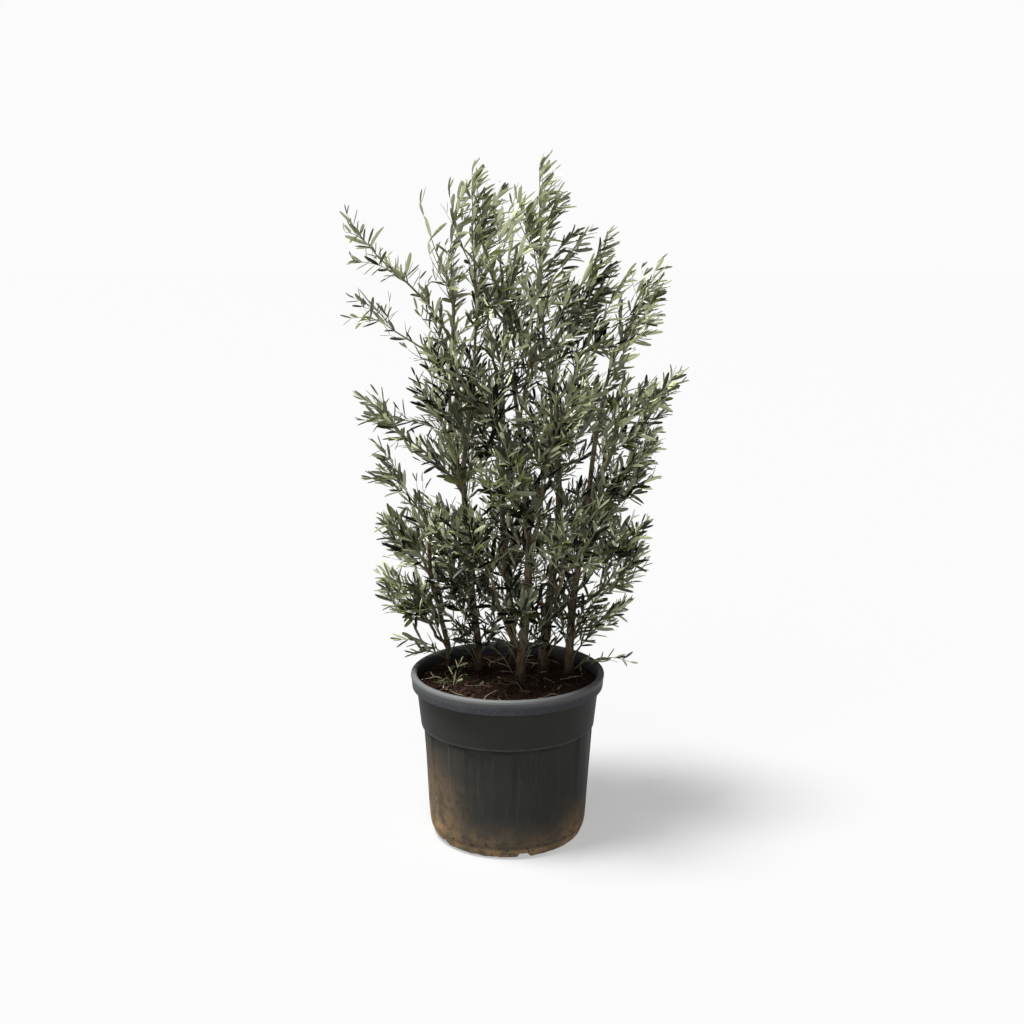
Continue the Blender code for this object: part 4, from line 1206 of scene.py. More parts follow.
def pot_profile():
    """The pot's section as (radius, height): up its inside, over the rim and down its outside."""
    inside = [(POLE_RADIUS, FLOOR_THICKNESS), *INNER_WALL]
    rim = [
        (RIM_INNER + 0.0022, POT_HEIGHT - 0.004),
        (RIM_INNER + 0.0070, POT_HEIGHT),
        (RIM_OUTER - 0.0070, POT_HEIGHT),
        (RIM_OUTER - 0.0015, POT_HEIGHT - 0.004),
        (RIM_OUTER, POT_HEIGHT - 0.011),
        (RIM_OUTER - 0.0014, POT_HEIGHT - 0.016),
        (RIM_OUTER - 0.0022, POT_HEIGHT - 0.019),
        (RIM_OUTER - 0.0044, RIM_BAND_BOTTOM + 0.002),
        (RIM_OUTER - 0.0052, RIM_BAND_BOTTOM),
        (RIM_OUTER - 0.0080, RIM_BAND_BOTTOM),
        (RIM_OUTER - 0.0072, POT_HEIGHT - 0.018),
        (COLLAR_TOP_RADIUS + 0.0025, POT_HEIGHT - 0.018),
    ]
    outside = [
        (COLLAR_TOP_RADIUS, RIM_BAND_BOTTOM),
        (COLLAR_BOTTOM_RADIUS, COLLAR_BOTTOM + 0.004),
        (COLLAR_BOTTOM_RADIUS - 0.0009, COLLAR_BOTTOM + 0.001),
        (WALL_TOP_RADIUS, COLLAR_BOTTOM),
        (WALL_FOOT_RADIUS, WALL_FOOT),
        (WALL_FOOT_RADIUS - 0.0020, 0.058),
        (WALL_FOOT_RADIUS - 0.0058, 0.036),
        (FOOT_RADIUS + 0.0120, 0.012),
        (FOOT_RADIUS, 0.0),
        (POLE_RADIUS, 0.0),
    ]
    section = rounded(inside + rim + outside, CORNER_RADIUS)
    top = CORNER_STEPS * (len(inside) - 1)
    inner, outer = divided(section[:top + 1], INSIDE_STEP), divided(section[top:], OUTSIDE_STEP)
    return np.concatenate([inner[:-1], outer])


def around(turn, middles):
    """How far each angle lies from the nearest of some others, in radians."""
    gaps = (turn[:, None] - middles + np.pi) % (2.0 * np.pi) - np.pi
    return np.abs(gaps).min(axis=1)


def eased(values, low, high):
    """0 below low and 1 above high. Between, three times the share squared less twice its cube."""
    share = np.clip((values - low) / (high - low), 0.0, 1.0)
    return share * share * (3.0 - 2.0 * share)


def flute_hollow(profile, turn, depth):
    """How far the wall lies back at each station and angle.

    It is the depth, times the share of the way up from the flute's foot, times an eased edge at
    each side and at the top. It is nothing on the inside and above the collar.
    """
    middles = np.radians(FLUTE_FIRST + np.arange(FLUTE_COUNT) * 360.0 / FLUTE_COUNT)
    half = math.radians(FLUTE_WIDTH) / 2
    edge = math.radians(0.9)
    sides = 1.0 - eased(around(turn, middles), half - edge, half + edge)
    radius, height = profile[:, 0], profile[:, 1]
    outer = np.arange(len(profile)) > np.argmax(radius)
    wall = outer & (height < FLUTE_TOP + 0.002)
    run = np.clip((height - FLUTE_FOOT) / (FLUTE_TOP - FLUTE_FOOT), 0.0, 1.0)
    top = 1.0 - eased(height, FLUTE_TOP - 0.003, FLUTE_TOP + 0.001)
    return depth * (wall * run * top)[:, None] * sides


def foot_crust(profile, turn):
    """How far dried soil and dents move the outside near the foot at each station and angle.

    It is a seeded sum of waves over the surface, fading out above the foot.
    """
    outer = (np.arange(len(profile)) > np.argmax(profile[:, 0]))[:, None]
    height = profile[:, 1:]
    round_foot = np.cos(turn) * FOOT_RADIUS, np.sin(turn) * FOOT_RADIUS
    places = np.stack(np.broadcast_arrays(*round_foot, height), axis=-1)
    return waves(places, 70, 0.050, 0.010, 23) * FOOT_CRUST * np.exp(-height / 0.030) * outer


def notch_roof(radius, turn):
    """The height of the notches' roof at each station and angle, 0 outside the notches."""
    middles = np.radians(NOTCH_FIRST + np.arange(NOTCH_COUNT) * 360.0 / NOTCH_COUNT)
    half = NOTCH_WIDTH / 2 / FOOT_RADIUS
    sides = 1.0 - eased(around(turn, middles), half * 0.86, half * 1.08)
    reach = eased(radius, FOOT_RADIUS - NOTCH_REACH * 0.62, FOOT_RADIUS - NOTCH_REACH * 0.5)
    return NOTCH_HEIGHT * reach * sides


def pot_look(settings):
    """Dark moulded plastic: a bleached rim, fine streaks, scuffs, and dried soil from the foot up.

    It has painted shade under the collar, in the crease above the foot and in pits, and painted
    highlights on the rim's top and the collar's lip.
    """
    look = Look("pot_plastic_dusty", 0.6, 0.12)
    x, _, height = look.axes()
    streaks = look.noise(60.0, 3.0, 0.6, look.scaled((1.0, 1.0, 0.035)))
    hairlines = look.noise(230.0, 2.0, 0.5, look.scaled((1.0, 1.0, 0.020)))
    blotches = look.noise(7.0, 4.0, 0.62)
    patches = look.noise(23.0, 6.0, 0.7)
    grain = look.noise(520.0, 2.0, 0.5)
    specks = look.noise(300.0, 2.0, 0.4).step(0.64, 0.72)
    wall = 1.0 - height.step(0.360, 0.372)
    low = (height + (blotches - 0.5) * 0.18 + (patches - 0.5) * 0.08).step(0.0, settings.dust_height)
    low = 1.0 - low
    edge = (x * x * 13.0).step(0.25, 0.95)
    left = (0.0 - x + (blotches - 0.5) * 0.12).step(0.09, 0.27)
    left = left * (1.0 - (height + (patches - 0.5) * 0.30).step(0.12, 0.40))
    flecked = patches.step(0.36, 0.62)
    ring = 1.0 - (height + (patches - 0.5) * 0.012).step(0.026, 0.036)
    dusty = low * (0.36 + 0.50 * edge) * (0.30 + 0.70 * flecked) + ring * 0.30 * (0.4 + 0.6 * flecked)
    right = (x + (blotches - 0.5) * 0.10).step(0.13, 0.26)
    right = right * (1.0 - (height + (patches - 0.5) * 0.16).step(0.06, 0.19))
    sides = left * 0.54 + right * 0.56
    dusty = (dusty + sides * (0.25 + 0.75 * flecked) * wall).clamped()
    film = hairlines.step(0.58, 0.76) * 0.34 * (0.30 + 0.70 * low) * wall
    film = film + streaks.step(0.56, 0.80) * 0.11 * wall
    scuffs = look.noise(34.0, 6.0, 0.75).step(0.60, 0.76) * 0.22 + specks * 0.45 * (0.3 + 0.7 * low)
    body = look.mixed((scuffs + blotches * 0.10).clamped(), settings.plastic, settings.worn_and_highlight)
    body = look.mixed((dusty + film * 0.5).clamped(), body, settings.dust)
    # Painted shade: the crease above the foot and the pits are darkened back towards the clean plastic. The
    # pits are real dents in the bump as well.
    painted_crease_shade = height.step(0.032, 0.038) * (1.0 - height.step(0.041, 0.050)) * patches.step(0.34, 0.52)
    pits_and_painted_shade = (1.0 - look.cells(34.0).step(0.10, 0.17)) * (1.0 - height.step(0.045, 0.075))
    body = look.mixed((painted_crease_shade * 0.30 + pits_and_painted_shade * 0.85).clamped(), body, settings.plastic)
    # Painted shade: a band just under the collar's edge is darkened towards a dark copy of the plastic.
    under = height.step(COLLAR_BOTTOM - 0.016, COLLAR_BOTTOM - 0.003)
    under = under * (1.0 - height.step(COLLAR_BOTTOM + 0.0005, COLLAR_BOTTOM + 0.002))
    # The collar's lip is lightened towards the worn colour: partly real scuffing, partly a painted
    # highlight along the edge.
    lip = height.step(COLLAR_BOTTOM + 0.002, COLLAR_BOTTOM + 0.0035)
    lip = lip * (1.0 - height.step(COLLAR_BOTTOM + 0.0055, COLLAR_BOTTOM + 0.0095))
    lip = lip * (0.35 + 0.65 * flecked)
    body = look.mixed(under * 0.62, body, shaded(settings.plastic, 0.22))
    body = look.mixed(lip * 0.30, body, settings.worn_and_highlight)
    # The rim's upper part is lightened by height as a painted highlight, and by real scuffs, specks and
    # blotches.
    rim_top_highlight_and_wear = height.step(0.508, 0.536) * 0.85 + scuffs * 1.3 + specks * 0.9 + (blotches - 0.5) * 0.6
    band = look.mixed(rim_top_highlight_and_wear.clamped(), settings.rim, settings.worn_and_highlight)
    body = look.mixed(height.step(0.4915, 0.4945), body, band)
    look.colour(body)
    look.feed(look.shader.inputs["Roughness"], 0.52 + dusty * 0.34 + grain * 0.08)
    look.bump(grain * 0.25 + hairlines * 0.30 + patches * low * 0.9 - pits_and_painted_shade * 0.8, settings.grain)
    return look.material


def soil_height(x, y, settings):
    """Height of the soil's surface: lumps of several sizes, a low mound round each stem's foot."""
    places = np.stack([x, y], axis=-1)
    lumps = waves(places, 90, 0.090, 0.010, 11) * settings.lump_height
    mound = np.zeros_like(x)
    for (foot_x, foot_y), *_ in STEMS.values():
        mound += 0.004 * np.exp(-((x - foot_x) ** 2 + (y - foot_y) ** 2) / 0.045 ** 2)
    return SOIL_TOP + lumps + mound


def inner_radius(height):
    """The pot's inner radius at a height."""
    radii, heights = zip(*INNER_WALL)
    return np.interp(height, heights, radii)


class OLIVE_OT_soil(Operator):
    """Fill the pot with lumpy soil"""

    bl_idname = "olive.soil"
    bl_label = "Soil"

    def execute(self, context):
        settings = context.scene.olive_soil
        turn = full_turn(SOIL_COLUMNS)
        bottom = FLOOR_THICKNESS + GAP
        edge = inner_radius(SOIL_TOP) - SOIL_SLACK
        radius = np.linspace(0.004, 1.0, SOIL_RINGS)[:, None] * edge + np.zeros_like(turn)
        height = soil_height(radius * np.sin(turn), -radius * np.cos(turn), settings)
        side = np.linspace(SOIL_TOP - 0.012, bottom, SOIL_SIDE_RINGS)[:, None] + np.zeros_like(turn)
        radius = np.concatenate([radius, inner_radius(side) - SOIL_SLACK])
        height = np.concatenate([height, side])
        middle = soil_height(np.zeros(1), np.zeros(1), settings)[0]
        look = soil_look(settings)
        piece = turned_piece("soil_filling", radius, height, turn, (middle, bottom), look)
        fitted(piece, "soil", "soil")
        return {"FINISHED"}


def soil_look(settings):
    """Moist dark soil with drier crumbs."""
    look = Look("soil_moist", 0.9, 0.08)
    crumbs = look.cells(210.0)
    tint = look.noise(26.0, 5.0, 0.7)
    fine = look.noise(380.0, 3.0, 0.6)
    dry = (tint.step(0.45, 0.72) * 0.6 + fine.step(0.56, 0.70) * 0.5).clamped()
    look.colour(look.mixed(dry, settings.earth, settings.crumb))
    look.feed(look.shader.inputs["Roughness"], 0.80 + dry * 0.15)
    look.bump((1.0 - crumbs) * 0.6 + fine * 0.4, 0.004)
    return look.material


def scattered(count, chance, reach=0.97):
    """Seeded places on the soil, evenly spread over its disc and clear of the stems."""
    radius = np.sqrt(chance.random(count * 2)) * (inner_radius(SOIL_TOP) * reach)
    turn = chance.random(count * 2) * 2.0 * np.pi
    x, y = radius * np.sin(turn), -radius * np.cos(turn)
    free = np.ones(len(x), bool)
    for (foot_x, foot_y), _, _, foot_radius, _ in STEMS.values():
        free &= np.hypot(x - foot_x, y - foot_y) > foot_radius * 2.1
    return x[free][:count], y[free][:count]


class OLIVE_OT_litter(Operator):
    """Strew bark chips, dry twigs and fallen leaves on the soil"""

    bl_idname = "olive.litter"
    bl_label = "Litter"

    def execute(self, context):
        settings = context.scene.olive_soil
        chance = np.random.default_rng(71)
        fitted(chips_piece(settings, chance), "soil")
        fitted(dry_twigs_piece(settings, chance), "bark")
        fitted(fallen_leaves_piece(settings, chance), "foliage")
        return {"FINISHED"}


def chips_piece(settings, chance):
    """Bark chips and crumbs: boxes whose corners are moved at random, turned and strewn."""
    x, y = scattered(settings.chips, chance)
    count = len(x)
    size = 0.0014 * np.exp(chance.normal(size=count) * 0.45)
    shape = np.stack([size * 1.7, size, size * 0.5], axis=-1)
    box = np.array([(i, j, k) for k in (-1, 1) for j in (-1, 1) for i in (-1, 1)], float)
    corners = box * (1.0 + chance.normal(size=(count, 8, 3)) * 0.22) * shape[:, None]
    way = unit(chance.normal(size=(count, 3)) * [1.0, 1.0, 0.35])
    across = unit(np.cross(way, chance.normal(size=(count, 3)) * 0.3 + [0.0, 0.0, 1.0]))
    above = np.cross(way, across)
    turned = corners[..., :1] * way[:, None] + corners[..., 1:2] * across[:, None]
    turned = turned + corners[..., 2:] * above[:, None]
    height = soil_height(x, y, settings) + size * 0.45
    points = turned + np.stack([x, y, height], axis=-1)[:, None]
    sides = np.array(
        [(0, 2, 3, 1), (4, 5, 7, 6), (0, 1, 5, 4), (2, 6, 7, 3), (0, 4, 6, 2), (1, 3, 7, 5)]
    )
    faces = (sides + np.arange(count)[:, None, None] * 8).reshape(-1, 4)
    looks = [
        plain_look("chip_dark", linear(28, 19, 14), 0.9),
        plain_look("chip_brown", linear(44, 28, 19), 0.85),
        plain_look("chip_red", linear(62, 33, 21), 0.85),
        plain_look("chip_pale", linear(92, 78, 60), 0.8),
    ]
    kind = chance.choice(4, count, p=(0.55, 0.28, 0.15, 0.02))
    return new_piece("soil_chips", points, [faces], looks, np.repeat(kind, 6))


def dry_twigs_piece(settings, chance):
    """Dry twigs that lie on the soil: thin bent tubes at seeded places and angles."""
    x, y = scattered(settings.dry_twigs, chance, 0.85)
    count = len(x)
    length = chance.uniform(0.025, 0.105, count)
    turn = chance.random(count) * 2.0 * np.pi
    share = np.linspace(-0.5, 0.5, DRY_TWIG_POINTS)[None, :]
    bow = chance.normal(size=(count, 1)) * 0.12
    ahead = share * length[:, None]
    aside = bow * length[:, None] * (1.0 - 4.0 * share ** 2)
    path_x = x[:, None] + ahead * np.cos(turn)[:, None] - aside * np.sin(turn)[:, None]
    path_y = y[:, None] + ahead * np.sin(turn)[:, None] + aside * np.cos(turn)[:, None]
    limit = inner_radius(SOIL_TOP) - 0.006
    shrink = np.minimum(1.0, limit / np.maximum(np.hypot(path_x, path_y), 1e-6))
    path_x, path_y = path_x * shrink, path_y * shrink
    tilt = (share + 0.5) * chance.uniform(0.0, 0.012, (count, 1))
    arch = np.where(chance.random((count, 1)) < 0.2, length[:, None] * 0.20, 0.0) * (1.0 - 4.0 * share ** 2)
    height = soil_height(path_x, path_y, settings) + 0.0025 + tilt + arch
    paths = np.stack([path_x, path_y, height], axis=-1)
    radii = np.linspace(1.3, 0.7, DRY_TWIG_POINTS)[None, :] * chance.uniform(0.0006, 0.0014, (count, 1))
    points, quads, fans = joined_tubes(paths, radii[:, :, None], 5)
    looks = [
        plain_look("dry_twig_pale", linear(134, 122, 102), 0.8),
        plain_look("dry_twig_brown", linear(72, 54, 40), 0.85),
    ]
    kind = (chance.random(count) < 0.45).astype(int)
    indices = np.concatenate([np.repeat(kind, len(quads) // count), np.repeat(kind, len(fans) // count)])
    return new_piece("soil_dry_twigs", points, [quads, fans], looks, indices)


def fallen_leaves_piece(settings, chance):
    """Fallen leaves that lie on the soil, nearly level."""
    x, y = scattered(settings.fallen_leaves, chance, 0.80)
    count = len(x)
    turn = chance.random(count) * 2.0 * np.pi
    way = unit(np.stack([np.cos(turn), np.sin(turn), chance.normal(size=count) * 0.10], axis=-1))
    normal = chance.normal(size=(count, 3)) * 0.22 + [0.0, 0.0, 1.0]
    normal = unit(normal - way * (normal * way).sum(axis=1, keepdims=True))
    length = chance.uniform(0.030, 0.058, count)
    base = np.stack([x, y, soil_height(x, y, settings) + 0.004], axis=-1) - way * length[:, None] / 2
    leaves = (base, way, normal, length, length * 0.21, chance.normal(size=count) * 0.12)
    looks = [
        plain_look("fallen_leaf_brown", linear(62, 45, 30), 0.75),
        plain_look("fallen_leaf_grey", linear(98, 94, 78), 0.75),
    ]
    kind = (chance.random(count) < 0.4).astype(int)
    return leaves_piece("soil_fallen_leaves", leaves, kind, kind, looks)


def leaves_piece(name, leaves, upper, under, looks):
    """One piece of many leaves: the looks of each leaf's upper side and underside by number."""
    triangles, quads = leaf_faces()
    points = leaf_blades(leaves[:6])
    count = len(points)
    offset = np.arange(count)[:, None, None] * LEAF_POINTS
    sides = np.stack([upper, under], axis=1)
    indices = [np.repeat(sides, len(group) // 2, axis=1).ravel() for group in (triangles, quads)]
    faces = [(triangles + offset).reshape(-1, 3), (quads + offset).reshape(-1, 4)]
    edge = np.array([True, True] + [True, True, False, False] * len(LEAF_STATIONS))
    return new_piece(name, points, faces, looks, np.concatenate(indices), np.tile(edge, count))


def bark_look(settings):
    """Weathered bark: grey with warmer patches, and fine fissures along the limb."""
    look = Look("bark_weathered", 0.85, 0.12)
    fissures = look.noise(170.0, 4.0, 0.65, look.scaled((1.0, 1.0, 0.16)))
    patches = look.noise(15.0, 4.0, 0.6)
    flecks = look.noise(420.0, 3.0, 0.6)
    depth = fissures.step(0.30, 0.56)
    body = look.mixed(patches.step(0.38, 0.66), settings.grey, settings.brown)
    body = look.mixed((1.0 - depth) * 0.85, body, settings.dark)
    body = look.mixed(flecks.step(0.60, 0.72) * 0.30, body, linear(140, 132, 114))
    _, _, height = look.axes()
    youth = (height + (patches - 0.5) * 0.30).step(0.95, 1.60)
    body = look.mixed(youth * 0.70, body, settings.young)
    # Darker near the soil: partly a real soil stain, partly painted shade where the stem meets the soil.
    soil_stain_and_contact_shade = 1.0 - (height + (patches - 0.5) * 0.06).step(0.505, 0.575)
    body = look.mixed(soil_stain_and_contact_shade * 0.85, body, settings.dark)
    look.colour(body)
    look.feed(look.shader.inputs["Roughness"], 0.78 + flecks * 0.18)
    look.bump(depth * 0.75 + flecks * 0.25, settings.fissure)
    return look.material


def limb_surface(name, points, radii, relief):
    """Rings of a limb with its bark in relief, and its centre line.

    The radius at a station and angle is the solid's radius, times one plus the relief times a
    seeded sum of waves over the surface drawn out along the limb, plus a few knots, and five
    buttresses that fade out above the foot.
    """
    seed = sum(name.encode())
    chance = np.random.default_rng(seed)
    reach = sum((b - a).length for a, b in zip(points, points[1:]))
    stations = max(12, int(reach / 0.0055))
    sides = 20 if name in STEMS else 14
    line, place = smooth_path(points, stations)
    radius = np.interp(place, np.arange(len(radii)), radii)[:, None]
    run = np.linspace(0.0, reach, stations)[:, None]
    turn = full_turn(sides)
    ring = np.cos(turn) * 0.05, np.sin(turn) * 0.05
    ridges = np.stack(np.broadcast_arrays(*ring, run * 0.35), axis=-1)
    bark = waves(ridges, 60, 0.12, 0.012, seed) * relief
    knots = np.zeros((stations, sides))
    for _ in range(int(reach / 0.11)):
        middle, angle = chance.uniform(0.05, 1.0) * reach, chance.uniform(0.0, 2.0 * np.pi)
        size = chance.uniform(0.10, 0.30)
        along_limb = np.exp(-((run - middle) / 0.007) ** 2)
        knots = knots + size * along_limb * (0.45 + 0.55 * np.cos(turn - angle))
    if name in STEMS:
        foot = np.exp(-run / 0.035)
        bark = bark + foot * 0.10 * np.cos(5.0 * turn + seed)
    return line, radius * (1.0 + bark + knots)


class OLIVE_OT_limbs(Operator):
    """Clothe each stem with its boughs in bark"""

    bl_idname = "olive.limbs"
    bl_label = "Stems and boughs"

    def execute(self, context):
        settings = context.scene.olive_limbs
        limbs, _, _ = whole_growth()
        looks = [bark_look(settings), plain_look("cut_wood", settings.cut, 0.8)]
        for stem in STEMS:
            names = [stem] + [name for name, (parent, *_) in BOUGHS.items() if parent == stem]
            groups, cuts = [], []
            for name in names:
                line, radius = limb_surface(name, *limbs[name], settings.relief)
                if name in BOUGHS:
                    share = np.linspace(0.0, 1.0, len(line))[:, None]
                    radius = radius * (1.0 + CUFF * np.exp(-share * CUFF_FADE))
                groups.append(joined_tubes(line[None], radius[None], radius.shape[1]))
                caps = len(groups[-1][2])
                cuts.append((np.arange(caps) >= caps // 2) & (name == CUT_STUB))
            points, quads, fans = bundled(groups)
            indices = np.concatenate([np.zeros(len(quads), int), *cuts])
            piece = new_piece(f"{stem}_bark", points, [quads, fans], looks, indices)
            fitted(piece, "bark", *names)
        return {"FINISHED"}


@functools.lru_cache(maxsize=1)
def fine_growth():
    """Everything finer than the limbs: tubes by kind, and the leaves with each one's shoot.

    Each of the source's sprays becomes a shoot along the middle of its room, with crossed pairs
    of leaves and, in the bushier masses, two side shoots. The twigs and the outer half of each
    axis bear leaves as well.
    """
    settings = bpy.context.scene.olive_crown
    limbs, axes, growth = whole_growth()
    chance = np.random.default_rng(SEED)
    tubes = {"axis": [], "twig": [], "shoot": []}
    sets = []
    share = np.linspace(0.0, 1.0, SHOOT_POINTS)
    thick = SHOOT_RADIUS + (SHOOT_TIP_RADIUS - SHOOT_RADIUS) * share

    def add_leaves(name, paths, headings, start, size, airy=1.0):
        """Set leaves from this share of the way on. One size is given for all shoots or for each."""
        starts, sizes = np.full(len(paths), start), np.full(len(paths), size)
        sets.append((name, *leaves_on(paths, headings, starts, sizes, settings, chance, airy)))

    def add_shoots(name, paths, headings, start, size, girth=1.0, airy=1.0):
        """Add leafy shoots this many times as thick as usual."""
        tubes["shoot"] += [(path, thick * girth) for path in paths]
        add_leaves(name, paths, headings, start, size, airy)

    for name, (twigs, sprays) in growth.items():
        bushy = MASSES[name][3]
        airy = 1.0 if bushy > SPARSE else AIRY_SPACING
        line, place = smooth_path(axes[name], AXIS_STATIONS)
        radius = np.interp(place, (0, AXIS_POINTS), (AXIS_RADIUS, AXIS_TIP_RADIUS))
        tubes["axis"].append((line, radius))
        add_leaves(name, line[None], unit(np.gradient(line, axis=0))[None], *AXIS_LEAVES, airy)
        if twigs:
            starts = np.array([tuple(start) for start, _, _ in twigs])
            ends = np.array([tuple(end) for _, end, _ in twigs])
            foot = TWIG_RADIUS * np.array([size for _, _, size in twigs])[:, None]
            reach = np.linalg.norm(ends - starts, axis=1)
            paths, headings = shoot_curve(starts, unit(ends - starts), reach, 0.0, chance)
            paths = paths + (ends - paths[:, -1])[:, None] * share[:, None]
            tubes["twig"] += list(zip(paths, foot + (TWIG_TIP_RADIUS - foot) * share))
            add_leaves(name, paths, headings, *TWIG_LEAVES, airy)
        bases = np.array([tuple(base) for base, *_ in sprays])
        ways = np.array([tuple(way) for _, way, _, _ in sprays])
        lengths = np.array([length for _, _, length, _ in sprays]) * SHOOT_SHARE
        paths, headings = shoot_curve(bases, ways, lengths, SHOOT_LIFT, chance)
        stand = standing(paths, chance)
        paths, headings, lengths = paths[stand], headings[stand], lengths[stand]
        size = 0.80 + 0.22 * lengths / (SPRAY_LENGTH * SHOOT_SHARE)
        add_shoots(name, paths, headings, SPRAY_LEAVES_FROM, size, 1.0, airy)
        if bushy > SPARSE:
            made = side_shoots(paths, headings, bushy, chance)
            add_shoots(name, *made, *SIDE_LEAVES, SIDE_GIRTH)
    for name, paths, headings in foot_branches(limbs, chance):
        add_shoots(name, paths, headings, *FOOT_LEAVES, FOOT_BRANCH_RADIUS / SHOOT_RADIUS)
    for name, paths, headings in limb_shoots(limbs, chance):
        add_shoots(name, paths, headings, *LIMB_LEAVES, LIMB_GIRTH)
    wood = [smooth_path(points, LIMB_STATIONS)[0] for points, _ in limbs.values()]
    wood = np.concatenate(wood + [line for line, _ in tubes["axis"]])
    paths, headings, sizes = bowed_shoots(LOW_SHOOTS)
    add_shoots("front", paths, headings, TABLE_LEAVES_FROM, sizes, TABLE_GIRTH)
    for name, side in (("left_high", -1.0), ("right_high", 1.0)):
        table = [row for row in OUTER_SHOOTS if row[1][0] * side > 0.0]
        paths, headings, sizes = bowed_shoots(table, wood)
        add_shoots(name, paths, headings, TABLE_LEAVES_FROM, sizes, TABLE_GIRTH)
        made = side_shoots(paths, headings, TABLE_BUSHY, chance)
        add_shoots(name, *made, *TABLE_SIDE_LEAVES, SIDE_GIRTH)
    return tubes, sets


def side_shoots(paths, headings, bushy, chance):
    """Short shoots from the lower part of each shoot, to one side and the other by turns."""
    all_paths, all_headings = [], []
    for station, turn in SIDE_SHOOTS:
        point, heading = paths[:, station], headings[:, station]
        across = unit(np.cross(heading, chance.normal(size=heading.shape) * 0.5 + [0.0, 0.0, 1.0]))
        rise = math.radians(SIDE_SHOOT_RISE) * (1.0 + chance.normal(size=len(paths)) * 0.15)
        way = heading * np.sin(rise)[:, None] + across * (np.cos(rise) * math.cos(turn))[:, None]
        length = SIDE_SHOOT_LENGTH * bushy * chance.uniform(0.6, 1.0, len(paths))
        made = shoot_curve(point, unit(way), length, SHOOT_LIFT, chance)
        all_paths.append(made[0])
        all_headings.append(made[1])
    return np.concatenate(all_paths), np.concatenate(all_headings)


def shortened(bases, ways, lengths, reach, lift, chance):
    """Shoots of seeded length, shortened where they would pass this reach from the middle."""
    bases, ways = np.array(bases), np.array(ways)
    length = chance.uniform(*lengths, len(bases))
    out = np.hypot(*(bases + ways * length[:, None])[:, :2].T)
    length = length * np.clip(reach / out, LEAST_SHARE, 1.0)
    return shoot_curve(bases, unit(ways), length, lift, chance)


def limb_shoots(limbs, chance):
    """Leafy shoots that the stems and boughs bear themselves, limb by limb.

    One stands every so far along the limb, a golden angle round from the last, and leans
    towards the limb's tip. It is shortened where it would pass the crown's reach.
    """
    for name, (points, _) in limbs.items():
        if name == CUT_STUB:
            continue
        reach = sum((b - a).length for a, b in zip(points, points[1:]))
        count = int(reach / LIMB_SHOOT_SPACING)
        bases, ways = [], []
        turn = chance.uniform(0.0, 360.0)
        for i in range(count):
            point, heading = along(points, (i + chance.uniform(0.2, 0.8)) / count)
            turn += GOLDEN_ANGLE + chance.normal() * 12.0
            if point.z < LOWEST_LIMB_SHOOT:
                continue
            bases.append(tuple(point))
            ways.append(tuple(side_direction(heading, turn, chance.uniform(22.0, 50.0))))
        made = shortened(bases, ways, LIMB_SHOOT_LENGTH, CROWN_REACH, SHOOT_LIFT, chance)
        stand = standing(made[0], chance)
        yield name, made[0][stand], made[1][stand]


def foot_branches(limbs, chance):
    """Slender branches that fork off low on each stem and are bare in their lower third."""
    for name in STEMS:
        turn = chance.uniform(0.0, 360.0)
        bases, ways = [], []
        for _ in range(FOOT_BRANCHES):
            point, heading = along(limbs[name][0], chance.uniform(0.02, 0.13))
            turn += GOLDEN_ANGLE + chance.normal() * 15.0
            bases.append(tuple(point))
            ways.append(tuple(side_direction(heading, turn, chance.uniform(44.0, 66.0))))
        yield name, *shortened(bases, ways, FOOT_BRANCH_LENGTH, FOOT_BRANCH_REACH, 0.10, chance)


def bowed_shoots(table, wood=None):
    """Shoots between two given ends, each bowed up by the sine of its share of the way.

    Where the wood's points are given, each start is moved to the nearest of them.
    """
    starts = np.array([start for start, _, _ in table])
    if wood is not None:
        starts = wood[np.linalg.norm(starts[:, None] - wood, axis=2).argmin(axis=1)]
    ends = np.array([end for _, end, _ in table])
    sizes = np.array([size for _, _, size in table])
    share = np.linspace(0.0, 1.0, SHOOT_POINTS)[None, :, None]
    bow = np.sin(np.pi * share) * np.array([0.0, 0.0, TABLE_BOW])
    paths = starts[:, None] * (1.0 - share) + ends[:, None] * share + bow
    return paths, unit(np.gradient(paths, axis=1)), sizes


def sector_of(name):
    """The part of the crown that a mass, a limb's shoots or a table's shoots belong to."""
    if name in SECTORS:
        return name
    if name in STEMS or name in BOUGHS:
        tip = (STEMS.get(name) or BOUGHS[name][1:])[1]
    else:
        tip = MASSES[name][2]
    if name in MASSES and abs(tip[1]) > SECTOR_DEPTH:
        return "front" if tip[1] < 0 else "back"
    return ("left" if tip[0] < 0 else "right") + ("_low" if tip[2] < SECTOR_SPLIT else "_high")


def masses_in(sector):
    """The masses of one part of the crown."""
    return [name for name in MASSES if sector_of(name) == sector]


def free_leaves(leaves, limbs):
    """Which leaves keep clear of the limbs and the pot, and inside the solids' box."""
    base, way, _, length, *_ = leaves
    free = np.ones(len(base), bool)
    low, high = np.array(CAD_LOW), np.array(CAD_HIGH)
    for share in (0.45, 0.75, 1.0):
        point = base + way * (length * share)[:, None]
        for limb in limbs.values():
            free &= ~close_to(point, limb, LEAF_CLEARANCE)
        radius, height = np.hypot(point[:, 0], point[:, 1]), point[:, 2]
        at_rim = (radius > RIM_INNER - 0.012) & (radius < RIM_OUTER + 0.008)
        free &= ~(at_rim & (height < POT_HEIGHT + 0.006)) & (height > SOIL_TOP + 0.004)
        free &= ((point > low - BOX_MARGIN) & (point < high + BOX_MARGIN)).all(axis=1)
    return free


